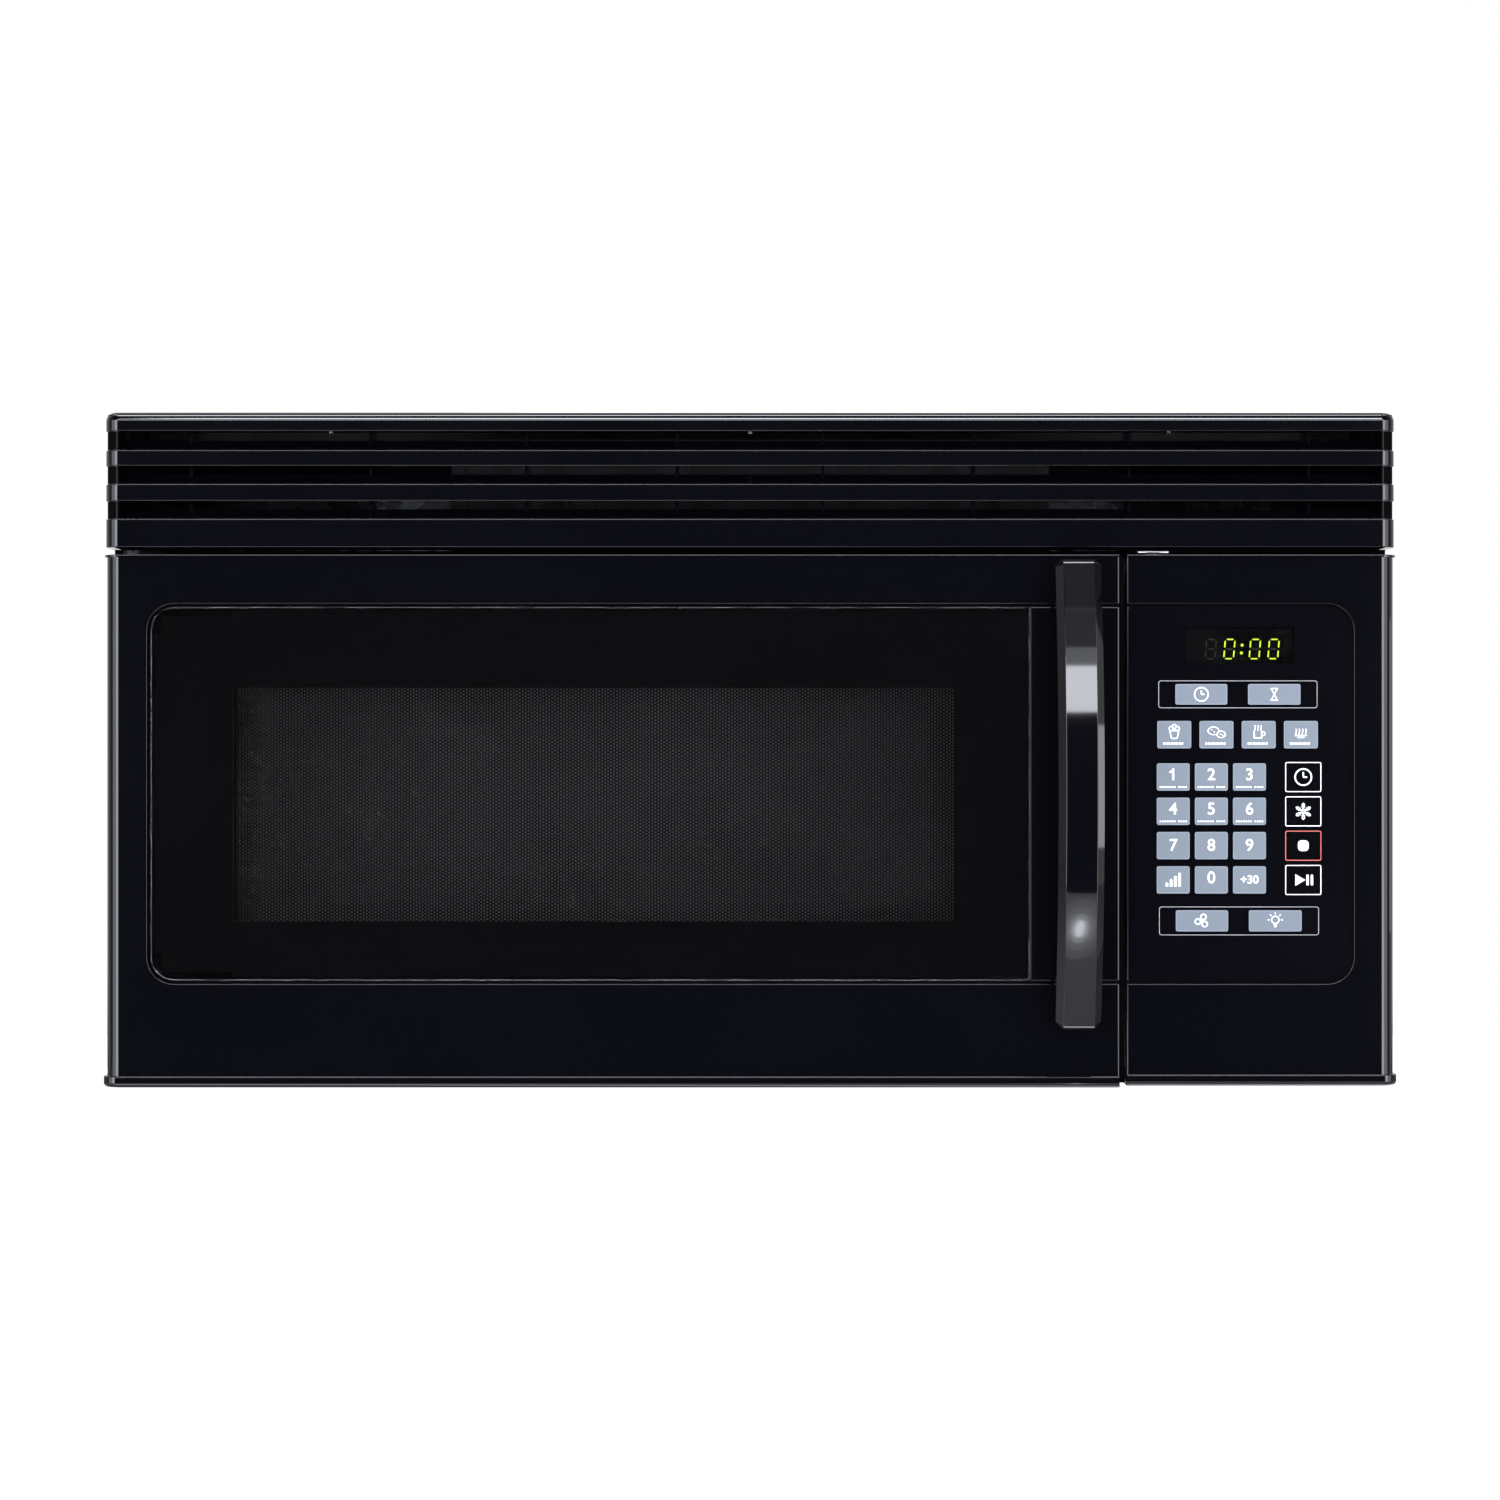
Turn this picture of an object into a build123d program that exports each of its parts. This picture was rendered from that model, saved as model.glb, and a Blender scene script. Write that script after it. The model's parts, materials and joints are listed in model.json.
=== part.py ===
from build123d import *
import math
import os

# Over the range microwave, millimetres, +Z up, front facing -Y, +X to the right seen from the front.
# The origin is at the centre of the outer box, on the surface that the base plate stands on.

# ---- driving dimensions: the outer case
WIDTH = 762.0                # across the bottom lip of door and control panel
FRONT_WIDTH = 758.4          # across the rounded edges of door and control panel
BODY_WIDTH = 752.0           # across the sheet steel casing
BODY_DEPTH = 384.0           # back to the door's face
BODY_HEIGHT = 398.0          # base to the flat top
HANDLE_PROUD = 38.0          # door handle in front of the door's face
FLUE_RISE = 19.0             # exhaust adapter above the flat top
FASCIA_DEPTH = 36.0          # door, control panel and grille in front of the chassis
SHEET = 1.2                  # sheet steel
EDGE_RADIUS = 8.0            # rounded upright edges at the two ends of the front
AIR = 0.4                    # gap between neighbouring pieces

Y_BACK = (BODY_DEPTH + HANDLE_PROUD) / 2
Y_FACE = Y_BACK - BODY_DEPTH
Y_CHASSIS = Y_FACE + FASCIA_DEPTH

# ---- front: door, control panel, grille
FRONT_LOW = 0.6              # the door stands this far clear of the base
PANEL_LOW = 1.7              # and the control panel this far
DOOR_TOP = 313.7
DOOR_RIGHT = 217.4
PANEL_LEFT = 221.2
SEAM_RIGHT = 164.7           # right edge of the dark pane
INSERT_LEFT, INSERT_RIGHT = -354.3, 354.9
INSERT_LOW, INSERT_TOP = 61.4, 284.9
INSERT_RADIUS = 16.0
GROOVE = 2.0                 # groove that outlines the insert
LIP_HEIGHT = 6.6
LIP_PROUD = 1.5
TOP_LIP_HEIGHT = 1.4         # thin rim along the top of door and control panel
TOP_LIP_PROUD = 0.8
PANEL_BOSS_X = 237.6         # low boss on top of the control panel
SKIN = 3.0                   # moulded plastic wall
GRILLE_LOW, GRILLE_TOP = 318.1, 397.7
GRILLE_HALF = 379.8
GRILLE_SLOTS = ((375.2, 386.4), (355.3, 365.9), (334.8, 345.3))
GRILLE_RIBS = (43.0, 132.0, 224.0, 330.0)
GRILLE_WALL = 2.5
END_POST, POST_DEPTH = 8.6, 0.9     # posts that close the slots at both ends, and how deep they lie
GRILLE_EASE = 5.0            # round along the grille's top edge
SLOT_EASE = 0.6              # round along the slots and the grille's lower edge
GRILLE_SCREWS = (-250.0, 0.0, 250.0)
DISPLAY_LEFT, DISPLAY_RIGHT = 255.1, 319.5
DISPLAY_LOW, DISPLAY_TOP = 249.7, 271.3

# ---- door inside
PANE_THICK = 3.0
SCREEN_Y = -146.0            # front of the perforated screen
SCREEN_THICK = 0.8
SCREEN_LEFT, SCREEN_RIGHT = -308.0, 121.5
SCREEN_LOW, SCREEN_TOP = 97.0, 236.0
CHOKE_LEFT, CHOKE_RIGHT = -345.0, 190.0
CHOKE_LOW, CHOKE_TOP = 26.0, 300.0
CHOKE_BAND = 24.0
CHOKE_FRONT = -160.0
HINGE_X, HINGE_Y = -366.0, -156.0
HINGE_PIN = 3.0
LATCH_X = 207.5
LATCH_HEIGHTS = (110.0, 238.0)
RUNNING = 0.05               # radial clearance of a pin or shaft

# ---- handle
HANDLE_X = 191.0
HANDLE_LOW, HANDLE_TOP = 36.4, 309.7
HANDLE_WIDTH = 26.5
HANDLE_FACET = 18.0
HANDLE_END = 20.0            # how proud the bow is at its ends
HANDLE_THICK = 14.0
HANDLE_TIP = 5.0
HANDLE_FOOT = 21.0
HANDLE_SCREWS = (HANDLE_LOW + 10.5, HANDLE_TOP - 10.5)

# ---- oven cavity
OVEN_LEFT, OVEN_RIGHT = -352.0, 196.0
OVEN_LOW, OVEN_TOP = 46.0, 284.0
OVEN_BACK = 199.0
OVEN_RADIUS = 12.0
TABLE_X = (OVEN_LEFT + OVEN_RIGHT) / 2
TABLE_Y = 31.0

# ---- turntable
TRAY_RADIUS = 155.0
ROLLER_RADIUS = 7.0
ROLLER_WIDTH = 6.0
ROLLER_PATH = 105.0
ROLLER_Z = OVEN_LOW + ROLLER_RADIUS + 0.3
TRAY_Z = ROLLER_Z + ROLLER_RADIUS + 0.3
DRIVE_RADIUS = 3.5           # output shaft that carries the coupler
DRIVE_DEPTH = 10.0           # its length inside the motor

# ---- component bay
SHELF_Z = 44.0
GUN_X, GUN_Y, GUN_Z = 278.0, 64.0, 232.0     # magnetron centre
FAN_X, FAN_Z = 285.0, 225.0
FAN_Y = 168.0
FAN_RADIUS = 52.0

# ---- extractor
BLOWER_Y, BLOWER_Z = 128.0, 343.0
WHEEL_RADIUS = 42.0
WHEEL_WIDTH = 60.0
WHEEL_BLADES = 24
SCROLL_START, SCROLL_END = 46.0, 60.0
SCROLL_WIDTH = 72.0
SCROLL_X = 88.0              # middle of each scroll housing
SHAFT_RADIUS = 4.0
DUCT_WIDTH, DUCT_DEPTH = 254.0, 82.5
DUCT_Y = 161.0
FLAP_Z = 404.0
FLAP_HINGE_Y, FLAP_HINGE_Z = DUCT_Y - DUCT_DEPTH / 2 + 5.0, FLAP_Z + 2.0

# ---- underside
FILTER_X, FILTER_Y = 262.0, 57.0
FILTER_WIDTH, FILTER_LENGTH, FILTER_THICK = 150.0, 248.0, 8.0
FILTER_LEDGE = 6.0           # the filter slides back by more than this to free its front edge
LENS_WIDTH, LENS_DEPTH = 132.0, 52.0
LENS_Y = -92.0
LENS_HINGE_Y, LENS_HINGE_Z = -63.2, 2.4

# ---- fixings
BOLT_SPACING, BOLT_Y, BOLT_RADIUS = 480.0, -60.0, 3.4
TAB_SPACING, TAB_LENGTH, TAB_RADIUS = 560.0, 30.0, 3.0
CORD_X, CORD_Y, CORD_RADIUS = 330.0, 180.0, 11.0


def block(x_low, x_high, y_low, y_high, z_low, z_high):
    """Block between two corners."""
    middle = ((x_low + x_high) / 2, (y_low + y_high) / 2, (z_low + z_high) / 2)
    return Pos(*middle) * Box(x_high - x_low, y_high - y_low, z_high - z_low)


def front_plane(y):
    """Drawing plane across the object, seen from the front; material goes towards the viewer."""
    return Plane(origin=(0, y, 0), x_dir=(1, 0, 0), z_dir=(0, -1, 0))


def side_plane(x):
    """Drawing plane along the object, Y to the right and Z up; material goes towards +X."""
    return Plane(origin=(x, 0, 0), x_dir=(0, 1, 0), z_dir=(1, 0, 0))


def level(z):
    """Drawing plane seen from above; material goes up."""
    return Plane(origin=(0, 0, z), x_dir=(1, 0, 0), z_dir=(0, 0, 1))


def window(x_low, x_high, z_low, z_high, radius):
    """Rounded rectangle between two corners, in the drawing plane's own axes."""
    outline = RectangleRounded(x_high - x_low, z_high - z_low, radius)
    return Pos((x_low + x_high) / 2, (z_low + z_high) / 2) * outline


def rod(x, y, z, radius, length, along="Z"):
    """Round bar centred on a point."""
    turn = {"X": Rot(0, 90, 0), "Y": Rot(90, 0, 0), "Z": Rot(0, 0, 0)}
    return Pos(x, y, z) * turn[along] * Cylinder(radius, length)


def upright_edges(part, group):
    """Upright edges at the lowest (0) or highest (-1) X of a part."""
    return part.edges().filter_by(Axis.Z).group_by(Axis.X)[group]


# ---------------------------------------------------------------- casing

def outer_wrap():
    half = BODY_WIDTH / 2
    wrap = block(-half, half, Y_CHASSIS + 1, Y_BACK - SHEET, FRONT_LOW, BODY_HEIGHT)
    wrap = fillet(wrap.edges().filter_by(Axis.Y).group_by(Axis.Z)[-1], 4)
    ends = wrap.faces().filter_by(Axis.Y)
    wrap = offset(wrap, -SHEET, openings=[wrap.faces().sort_by(Axis.Z)[0], ends[0], ends[-1]])
    duct = block(-DUCT_WIDTH / 2 - 2, DUCT_WIDTH / 2 + 2, DUCT_Y - DUCT_DEPTH / 2 - 2,
                 DUCT_Y + DUCT_DEPTH / 2 + 2, BODY_HEIGHT - 5, BODY_HEIGHT + 5)
    wrap -= duct
    for side in (-1, 1):
        wrap -= rod(side * BOLT_SPACING / 2, BOLT_Y, BODY_HEIGHT, BOLT_RADIUS, 10)
    wrap -= rod(CORD_X, CORD_Y, BODY_HEIGHT, CORD_RADIUS, 10)
    return wrap


def rear_panel():
    half = BODY_WIDTH / 2
    panel = block(-half, half, Y_BACK - SHEET, Y_BACK, FRONT_LOW, BODY_HEIGHT)
    for side in (-1, 1):
        place = front_plane(Y_BACK + 1) * Pos(side * TAB_SPACING / 2, 20)
        slot = place * SlotOverall(TAB_LENGTH, 2 * TAB_RADIUS)
        panel -= extrude(slot, 4)
    for x, z in screw_places():
        panel -= screw(x, z, 0.15)
    return panel


def screw_places():
    """Countersunk casing screws, seen from the rear: two columns and one row along the top."""
    columns = [(side * 366.0, z) for side in (-1, 1) for z in (60.0, 200.0, 340.0)]
    return columns + [(x, 388.0) for x in (-200.0, 200.0)]


def screw(x, z, spare=0.0):
    """Countersunk screw through the rear panel, with its short shank inside."""
    head = Pos(x, Y_BACK - 0.6, z) * Rot(-90, 0, 0) * Cone(1.8 + spare, 3.0 + spare, SHEET)
    return head + rod(x, Y_BACK - 4.2, z, 1.6 + spare, 6.2, "Y")


def casing_screws():
    """Countersunk screws of the rear panel and the three pan head screws on top of the grille."""
    screws = [screw(x, z) for x, z in screw_places()]
    for x in GRILLE_SCREWS:
        shank = rod(x, Y_CHASSIS - 8, GRILLE_TOP - 5, 1.7, 10)
        head = Pos(x, Y_CHASSIS - 8, GRILLE_TOP + 0.15) * Cylinder(3.2, 0.3)
        screws.append(shank + head)
    return Compound(children=screws)


def base_plate():
    half = BODY_WIDTH / 2 - SHEET - AIR
    plate = block(-half, half, Y_CHASSIS + 1.5, Y_BACK - SHEET - 0.1, 0, 14)
    plate = fillet(plate.edges().filter_by(Axis.Z), 3)
    plate = offset(plate, -SHEET, openings=plate.faces().sort_by(Axis.Z)[-1])
    for side in (-1, 1):
        hole = Pos(side * FILTER_X, FILTER_Y) * RectangleRounded(
            FILTER_WIDTH - 2 * FILTER_LEDGE, FILTER_LENGTH - 2 * FILTER_LEDGE, 5)
        plate -= extrude(level(-1) * hole, 4)
    lens = window(-LENS_WIDTH / 2 - 1, LENS_WIDTH / 2 + 1, LENS_Y - LENS_DEPTH / 2 - 1, LENS_HINGE_Y + 3.5, 3)
    plate -= extrude(level(-1) * lens, 4)
    for side in (-1, 1):
        ear = block(side * (LENS_WIDTH / 2 + 3.5) - 1.5, side * (LENS_WIDTH / 2 + 3.5) + 1.5,
                    LENS_HINGE_Y - 4, LENS_HINGE_Y + 4, SHEET / 2, 6)
        plate += ear - rod(side * (LENS_WIDTH / 2 + 3.5), LENS_HINGE_Y, LENS_HINGE_Z, 1.25, 10, "X")
    for row in range(6):
        louvre = Pos(330, -112 + 9 * row) * SlotOverall(56, 4)
        plate -= extrude(level(-1) * louvre, 4)
    return plate


def top_rail():
    """Hat section under the top, with the two nut bosses that the cabinet bolts go into."""
    under = BODY_HEIGHT - SHEET
    hat = [(BOLT_Y - 34, under - 0.1), (BOLT_Y - 20, under - 0.1), (BOLT_Y - 16, under - 12),
           (BOLT_Y + 16, under - 12), (BOLT_Y + 20, under - 0.1), (BOLT_Y + 34, under - 0.1)]
    lower = [(y, z - SHEET) for y, z in reversed(hat)]
    section = make_face(Polyline(*hat, *lower, close=True))
    rail = extrude(side_plane(-BODY_WIDTH / 2 + 4) * section, BODY_WIDTH - 8)
    for side in (-1, 1):
        x = side * BOLT_SPACING / 2
        rail += rod(x, BOLT_Y, under - 6.2, 9, 12.2)
        rail -= rod(x, BOLT_Y, under - 6.2, BOLT_RADIUS, 40)
    return rail


def component_shelf():
    """Raised floor of the component bay, over the duct from the right grease filter."""
    shelf = block(OVEN_RIGHT + 3, BODY_WIDTH / 2 - SHEET - AIR, -130, OVEN_BACK + 8, SHELF_Z - 14, SHELF_Z)
    shelf = fillet(shelf.edges().filter_by(Axis.Z), 2)
    shelf = offset(shelf, -SHEET, openings=shelf.faces().sort_by(Axis.Z)[0])
    for row in range(5):
        shelf -= extrude(level(SHELF_Z - 5) * Pos(345, 0 + 12 * row) * SlotOverall(40, 5), 10)
    return shelf


# ---------------------------------------------------------------- oven

def oven_cavity():
    box = block(OVEN_LEFT - SHEET, OVEN_RIGHT + SHEET, Y_CHASSIS, OVEN_BACK + SHEET,
                OVEN_LOW - SHEET, OVEN_TOP + SHEET)
    box = fillet(box.edges().filter_by(Axis.Y) + box.edges().group_by(Axis.Y)[-1], OVEN_RADIUS)
    oven = offset(box, -SHEET, openings=box.faces().sort_by(Axis.Y)[0])
    plate = front_plane(Y_CHASSIS + SHEET) * window(-374, DOOR_RIGHT + 1.4, 9, 313, 3)
    mouth = window(OVEN_LEFT, OVEN_RIGHT, OVEN_LOW, OVEN_TOP, OVEN_RADIUS - 1)
    plate -= front_plane(Y_CHASSIS + SHEET) * mouth
    oven += extrude(plate, SHEET)
    for z in LATCH_HEIGHTS:
        oven -= block(LATCH_X - 5, LATCH_X + 5, Y_CHASSIS - 5, Y_CHASSIS + 5, z - 12, z + 14)
    # waveguide mouth, lamp holes and air holes in the right wall, motor hole in the floor
    oven -= block(OVEN_RIGHT - 2, OVEN_RIGHT + 2, 30, 98, 214, 252)
    for column in range(4):
        for row in range(3):
            oven -= rod(OVEN_RIGHT, -60 + 6 * column, 236 + 6 * row, 1.8, 6, "X")
            oven -= rod(OVEN_LEFT, 120 + 9 * column, 236 + 9 * row, 2.4, 6, "X")
    oven -= rod(TABLE_X, TABLE_Y, OVEN_LOW, 6, 6)
    return oven


def waveguide():
    """Pressed duct on the oven's right wall, with the magnetron's seat on its outer face."""
    duct = block(OVEN_RIGHT + SHEET, 236, 24, 106, 192, 272)
    duct = fillet(duct.edges().group_by(Axis.X)[-1], 5)
    duct = offset(duct, -SHEET, openings=duct.faces().sort_by(Axis.X)[0])
    rim = side_plane(OVEN_RIGHT + SHEET) * window(16, 114, 184, 280, 6)
    rim -= side_plane(OVEN_RIGHT + SHEET) * window(25.2, 104.8, 193.2, 270.8, 2)
    duct += extrude(rim, SHEET)
    duct -= rod(236, GUN_Y, GUN_Z, 10.5, 10, "X")
    return duct


def waveguide_cover():
    cover = side_plane(OVEN_RIGHT - 0.7) * window(22, 106, 206, 260, 4)
    return extrude(cover, 0.5)


def cavity_lamp():
    """Small bulb in its socket, behind the punched lamp holes."""
    x = OVEN_RIGHT + SHEET
    glass = ThreePointArc((0, 6), (8, 8.5), (16, 5)) + Polyline((16, 5), (16, 0), (0, 0), (0, 6))
    bulb = revolve(Pos(x + 1, -51, 242) * make_face(glass), Axis((x, -51, 242), (1, 0, 0)))
    socket = rod(x + 24, -51, 242, 8, 15, "X")
    foot = block(x, x + 1.2, -66, -36, 222, 228) + block(x, x + 32, -58, -44, 228, 229.5)
    bracket = block(x + 18, x + 32, -57, -45, 229.5, 234.5)
    return bulb + socket + foot + bracket


def thermal_cutouts():
    """Three small disc thermostats: oven top, magnetron side and extractor."""
    cups = []
    for x, y, z in ((-40, -60, OVEN_TOP + SHEET), (120, 40, OVEN_TOP + SHEET), (-200, 120, OVEN_TOP + SHEET)):
        cup = Pos(x, y, z + 3.1) * Cylinder(8, 6) + block(x - 13, x + 13, y - 5, y + 5, z + 0.1, z + 1)
        for side in (-1, 1):
            cup += block(x + side * 4 - 0.4, x + side * 4 + 0.4, y - 3, y + 3, z + 6, z + 14)
        cups.append(cup)
    return Compound(children=cups)


# ---------------------------------------------------------------- turntable

def turntable_motor():
    z = OVEN_LOW - SHEET
    can = Pos(TABLE_X, TABLE_Y, z - 9.6) * Cylinder(25, 18)
    can = fillet(can.edges().group_by(Axis.Z)[0], 2)
    ears = extrude(level(z - 1.3) * Pos(TABLE_X, TABLE_Y) * SlotOverall(72, 12), 1.2)
    ears -= rod(TABLE_X - 29, TABLE_Y, z, 2.2, 8) + rod(TABLE_X + 29, TABLE_Y, z, 2.2, 8)
    bearing = rod(TABLE_X, TABLE_Y, z - DRIVE_DEPTH / 2 - AIR, DRIVE_RADIUS + RUNNING, DRIVE_DEPTH + 2 * AIR)
    return can + ears - bearing


def turntable_coupler():
    """Three-armed hub on the motor's output shaft; its arms drive the tray's lugs."""
    low = OVEN_LOW + 1.4
    centre = level(low) * Pos(TABLE_X, TABLE_Y)
    hub = centre * Circle(9)
    arms = [centre * Rot(0, 0, 120 * k) * Pos(9, 0) * SlotOverall(26, 8) for k in range(3)]
    body = extrude(hub + arms, TRAY_Z - 0.3 - low)
    shaft_low = OVEN_LOW - SHEET - DRIVE_DEPTH
    return body + rod(TABLE_X, TABLE_Y, (shaft_low + low + 2) / 2, DRIVE_RADIUS, low + 2 - shaft_low)


def glass_tray():
    """Pressed glass: flat floor, raised rim, three lugs underneath for the coupler."""
    r = TRAY_RADIUS
    outline = Polyline((0, 0), (r - 14, 0))
    outline += Spline((r - 14, 0), (r - 5, 3.5), (r, 11), tangents=((1, 0), (0.3, 1)))
    outline += Polyline((r, 11), (r - 4, 12))
    outline += Spline((r - 4, 12), (r - 8, 7.5), (r - 17, 5), tangents=((-0.3, -1), (-1, 0)))
    outline += Polyline((r - 17, 5), (0, 5), (0, 0))
    tray = revolve(Plane.XZ * make_face(outline), Axis.Z)
    lug = extrude(level(-9) * Pos(16, 0) * SlotOverall(10, 7, rotation=90), 9.5)
    for k in range(3):
        tray += Rot(0, 0, 60 + 120 * k) * lug
    return Pos(TABLE_X, TABLE_Y, TRAY_Z) * tray


def roller_ring():
    """Plastic ring with three stub axles for the rollers and a wide hub round the coupler."""
    ring = level(ROLLER_Z - 3) * (Circle(ROLLER_PATH - 9) - Circle(ROLLER_PATH - 17))
    ring += level(ROLLER_Z - 3) * (Circle(40) - Circle(33))
    spokes = [level(ROLLER_Z - 3) * Rot(0, 0, 120 * k) * Pos(64, 0) * Rectangle(52, 7) for k in range(3)]
    body = extrude(ring + spokes, 6)
    for k in range(3):
        axle = rod(ROLLER_PATH - 2, 0, ROLLER_Z, 2, 20, "X")
        axle += rod(ROLLER_PATH + 6.5, 0, ROLLER_Z, 3.2, 1.6, "X")
        body += Rot(0, 0, 120 * k) * axle
    return Pos(TABLE_X, TABLE_Y, 0) * body


def roller(number):
    wheel = rod(ROLLER_PATH + 1.5, 0, ROLLER_Z, ROLLER_RADIUS, ROLLER_WIDTH, "X")
    wheel = fillet(wheel.edges(), 1)
    wheel -= rod(ROLLER_PATH, 0, ROLLER_Z, 2 + RUNNING, 30, "X")
    return Pos(TABLE_X, TABLE_Y, 0) * Rot(0, 0, 120 * number) * wheel


# ---------------------------------------------------------------- microwave source

def magnetron():
    """Anode with cooling fins between two ring magnets, in a yoke, with antenna and filter box."""
    x = 237.4
    yoke = block(x, x + 58, GUN_Y - 42, GUN_Y + 42, GUN_Z - 32, GUN_Z + 32)
    yoke -= block(x + 1.5, x + 56.5, GUN_Y - 40.5, GUN_Y + 40.5, GUN_Z - 40, GUN_Z + 40)
    anode = rod(x + 29, GUN_Y, GUN_Z, 18, 56, "X")
    magnets = rod(x + 7.5, GUN_Y, GUN_Z, 27, 12, "X") + rod(x + 50.5, GUN_Y, GUN_Z, 27, 12, "X")
    gun = yoke + anode + magnets
    for k in range(5):
        gun += block(x + 17 + 6 * k, x + 17.8 + 6 * k, GUN_Y - 40.6, GUN_Y + 40.6, GUN_Z - 29, GUN_Z + 29)
    antenna = rod(x - 1, GUN_Y, GUN_Z, 9, 4, "X") + rod(x - 12, GUN_Y, GUN_Z, 6.5, 22, "X")
    filter_box = block(x + 58, x + 84, GUN_Y - 24, GUN_Y + 24, GUN_Z - 22, GUN_Z + 22)
    filter_box = fillet(filter_box.edges().filter_by(Axis.X), 3)
    plug = block(x + 66, x + 76, GUN_Y - 30, GUN_Y - 24, GUN_Z - 8, GUN_Z + 8)
    return gun + antenna + filter_box + plug


def high_voltage_transformer():
    """Laminated core on its base frame, with the two windings round the middle limb."""
    x, y = 276.0, 30.0
    z = SHELF_Z
    core = block(x - 50, x + 50, y - 32, y + 32, z + 2, z + 86)
    for side in (-1, 1):
        core -= block(x + side * 26 - 11, x + side * 26 + 11, y - 40, y + 40, z + 16, z + 72)
    frame = block(x - 58, x + 58, y - 34, y + 34, z + 0.1, z + 2)
    coil = block(x - 35, x + 35, y - 52, y + 52, z + 18, z + 42)
    coil = fillet(coil.edges().filter_by(Axis.Z), 14)
    second = fillet(block(x - 34, x + 34, y - 48, y + 48, z + 46, z + 69).edges().filter_by(Axis.Z), 13)
    return core + frame + coil + second


def high_voltage_capacitor():
    can = extrude(level(SHELF_Z + 3) * Pos(354, 120) * Rot(0, 0, 90) * SlotOverall(54, 32), 84)
    rim = extrude(level(SHELF_Z + 85) * Pos(354, 120) * Rot(0, 0, 90) * SlotOverall(57, 35), 3)
    part = can + rim
    for side in (-1, 1):
        part += block(353.6, 354.4, 120 + side * 12 - 3, 120 + side * 12 + 3, SHELF_Z + 88, SHELF_Z + 98)
    return part


def capacitor_clamp():
    strap = level(SHELF_Z + 30) * Pos(354, 120) * (
        Rot(0, 0, 90) * SlotOverall(57, 35) - Rot(0, 0, 90) * SlotOverall(54.2, 32.2))
    foot = block(347, 361, 148.2, 149.4, SHELF_Z + 0.1, SHELF_Z + 44)
    base = block(347, 361, 149.3, 162, SHELF_Z + 0.1, SHELF_Z + 1.3)
    return extrude(strap, 14) + foot + base


def high_voltage_diode():
    body = rod(300, 140, SHELF_Z + 12, 3.5, 16, "X")
    leads = rod(300, 140, SHELF_Z + 12, 0.8, 44, "X")
    tab = block(276, 280, 136, 144, SHELF_Z + 0.1, SHELF_Z + 14)
    tab += block(320, 324, 136, 144, SHELF_Z + 0.1, SHELF_Z + 14)
    return body + leads + tab


def cooling_fan():
    """Five pitched blades on a hub."""
    blade = extrude(Pos(0, 0, -0.7) * (Circle(FAN_RADIUS - 2) - Circle(6)), 1.4)
    wedge = extrude(Pos(0, 0, -10) * make_face(
        Polyline((4, -6), (60, -20), (60, 20), (4, 7), close=True)), 20)
    blade = Rot(28, 0, 0) * (blade & wedge)
    blade = blade & Cylinder(FAN_RADIUS - 1, 40)
    fan = Cylinder(12, 20) - Pos(0, 0, 6) * Cylinder(9, 14)
    for k in range(5):
        fan += Rot(0, 0, 72 * k) * blade
    fan -= Cylinder(2.5 + RUNNING, 40)
    return Pos(FAN_X, FAN_Y, FAN_Z) * Rot(-90, 0, 0) * fan


def fan_shroud():
    """Plate with a flared ring round the blades and three arms that carry the motor."""
    plate = front_plane(FAN_Y + 12) * window(216, 366, 140, 282, 6)
    plate -= front_plane(FAN_Y + 12) * Pos(FAN_X, FAN_Z) * Circle(FAN_RADIUS + 3)
    part = extrude(plate, 1.6)
    ring = front_plane(FAN_Y + 12) * Pos(FAN_X, FAN_Z) * (Circle(FAN_RADIUS + 5) - Circle(FAN_RADIUS + 3))
    part += extrude(ring, 22)
    arms = front_plane(FAN_Y + 14.2) * Pos(FAN_X, FAN_Z) * (Rectangle(2 * FAN_RADIUS + 16, 10) + Circle(17))
    arms -= front_plane(FAN_Y + 14.2) * Pos(FAN_X, FAN_Z) * Circle(7)
    part += extrude(arms, 2.2)
    part += block(216, 366, FAN_Y + 4, FAN_Y + 12, 138.4, 140)
    leg = block(222, 234, FAN_Y + 10.4, FAN_Y + 12, SHELF_Z + 0.1, 141)
    return part + leg + Pos(130, 0, 0) * leg


def fan_motor():
    """Shaded pole motor: laminated frame, coil to one side, shaft forward into the fan."""
    y = FAN_Y + 14.3
    frame = block(FAN_X - 24, FAN_X + 24, y, y + 14, FAN_Z - 22, FAN_Z + 30)
    frame = fillet(frame.edges().filter_by(Axis.Y), 3)
    coil = block(FAN_X - 26, FAN_X + 26, y + 1, y + 25, FAN_Z + 14, FAN_Z + 26)
    coil = fillet(coil.edges().filter_by(Axis.X), 4)
    cap = rod(FAN_X, y + 19, FAN_Z, 9, 12, "Y")
    shaft = rod(FAN_X, FAN_Y + 5, FAN_Z, 2.5, 26, "Y")
    return frame + coil + cap + shaft


# ---------------------------------------------------------------- extractor

def scroll_outline(inset):
    """Volute round the wheel that widens at a steady rate and leaves upwards at the rear."""
    turns = [math.radians(a) for a in range(80, 361, 20)]
    spread = (SCROLL_END - SCROLL_START) / (turns[-1] - turns[0])
    curve = []
    for a in turns:
        r = SCROLL_START + spread * (a - turns[0]) - inset
        curve.append((BLOWER_Y + r * math.cos(a), BLOWER_Z + r * math.sin(a)))
    top = BODY_HEIGHT - SHEET - 2 + inset
    spiral = Spline(*curve, tangents=((-1, 0.15), (0, 1)))
    walls = Polyline(curve[-1], (curve[-1][0], top), (curve[0][0], top), curve[0])
    return make_face(spiral + walls)


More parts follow.
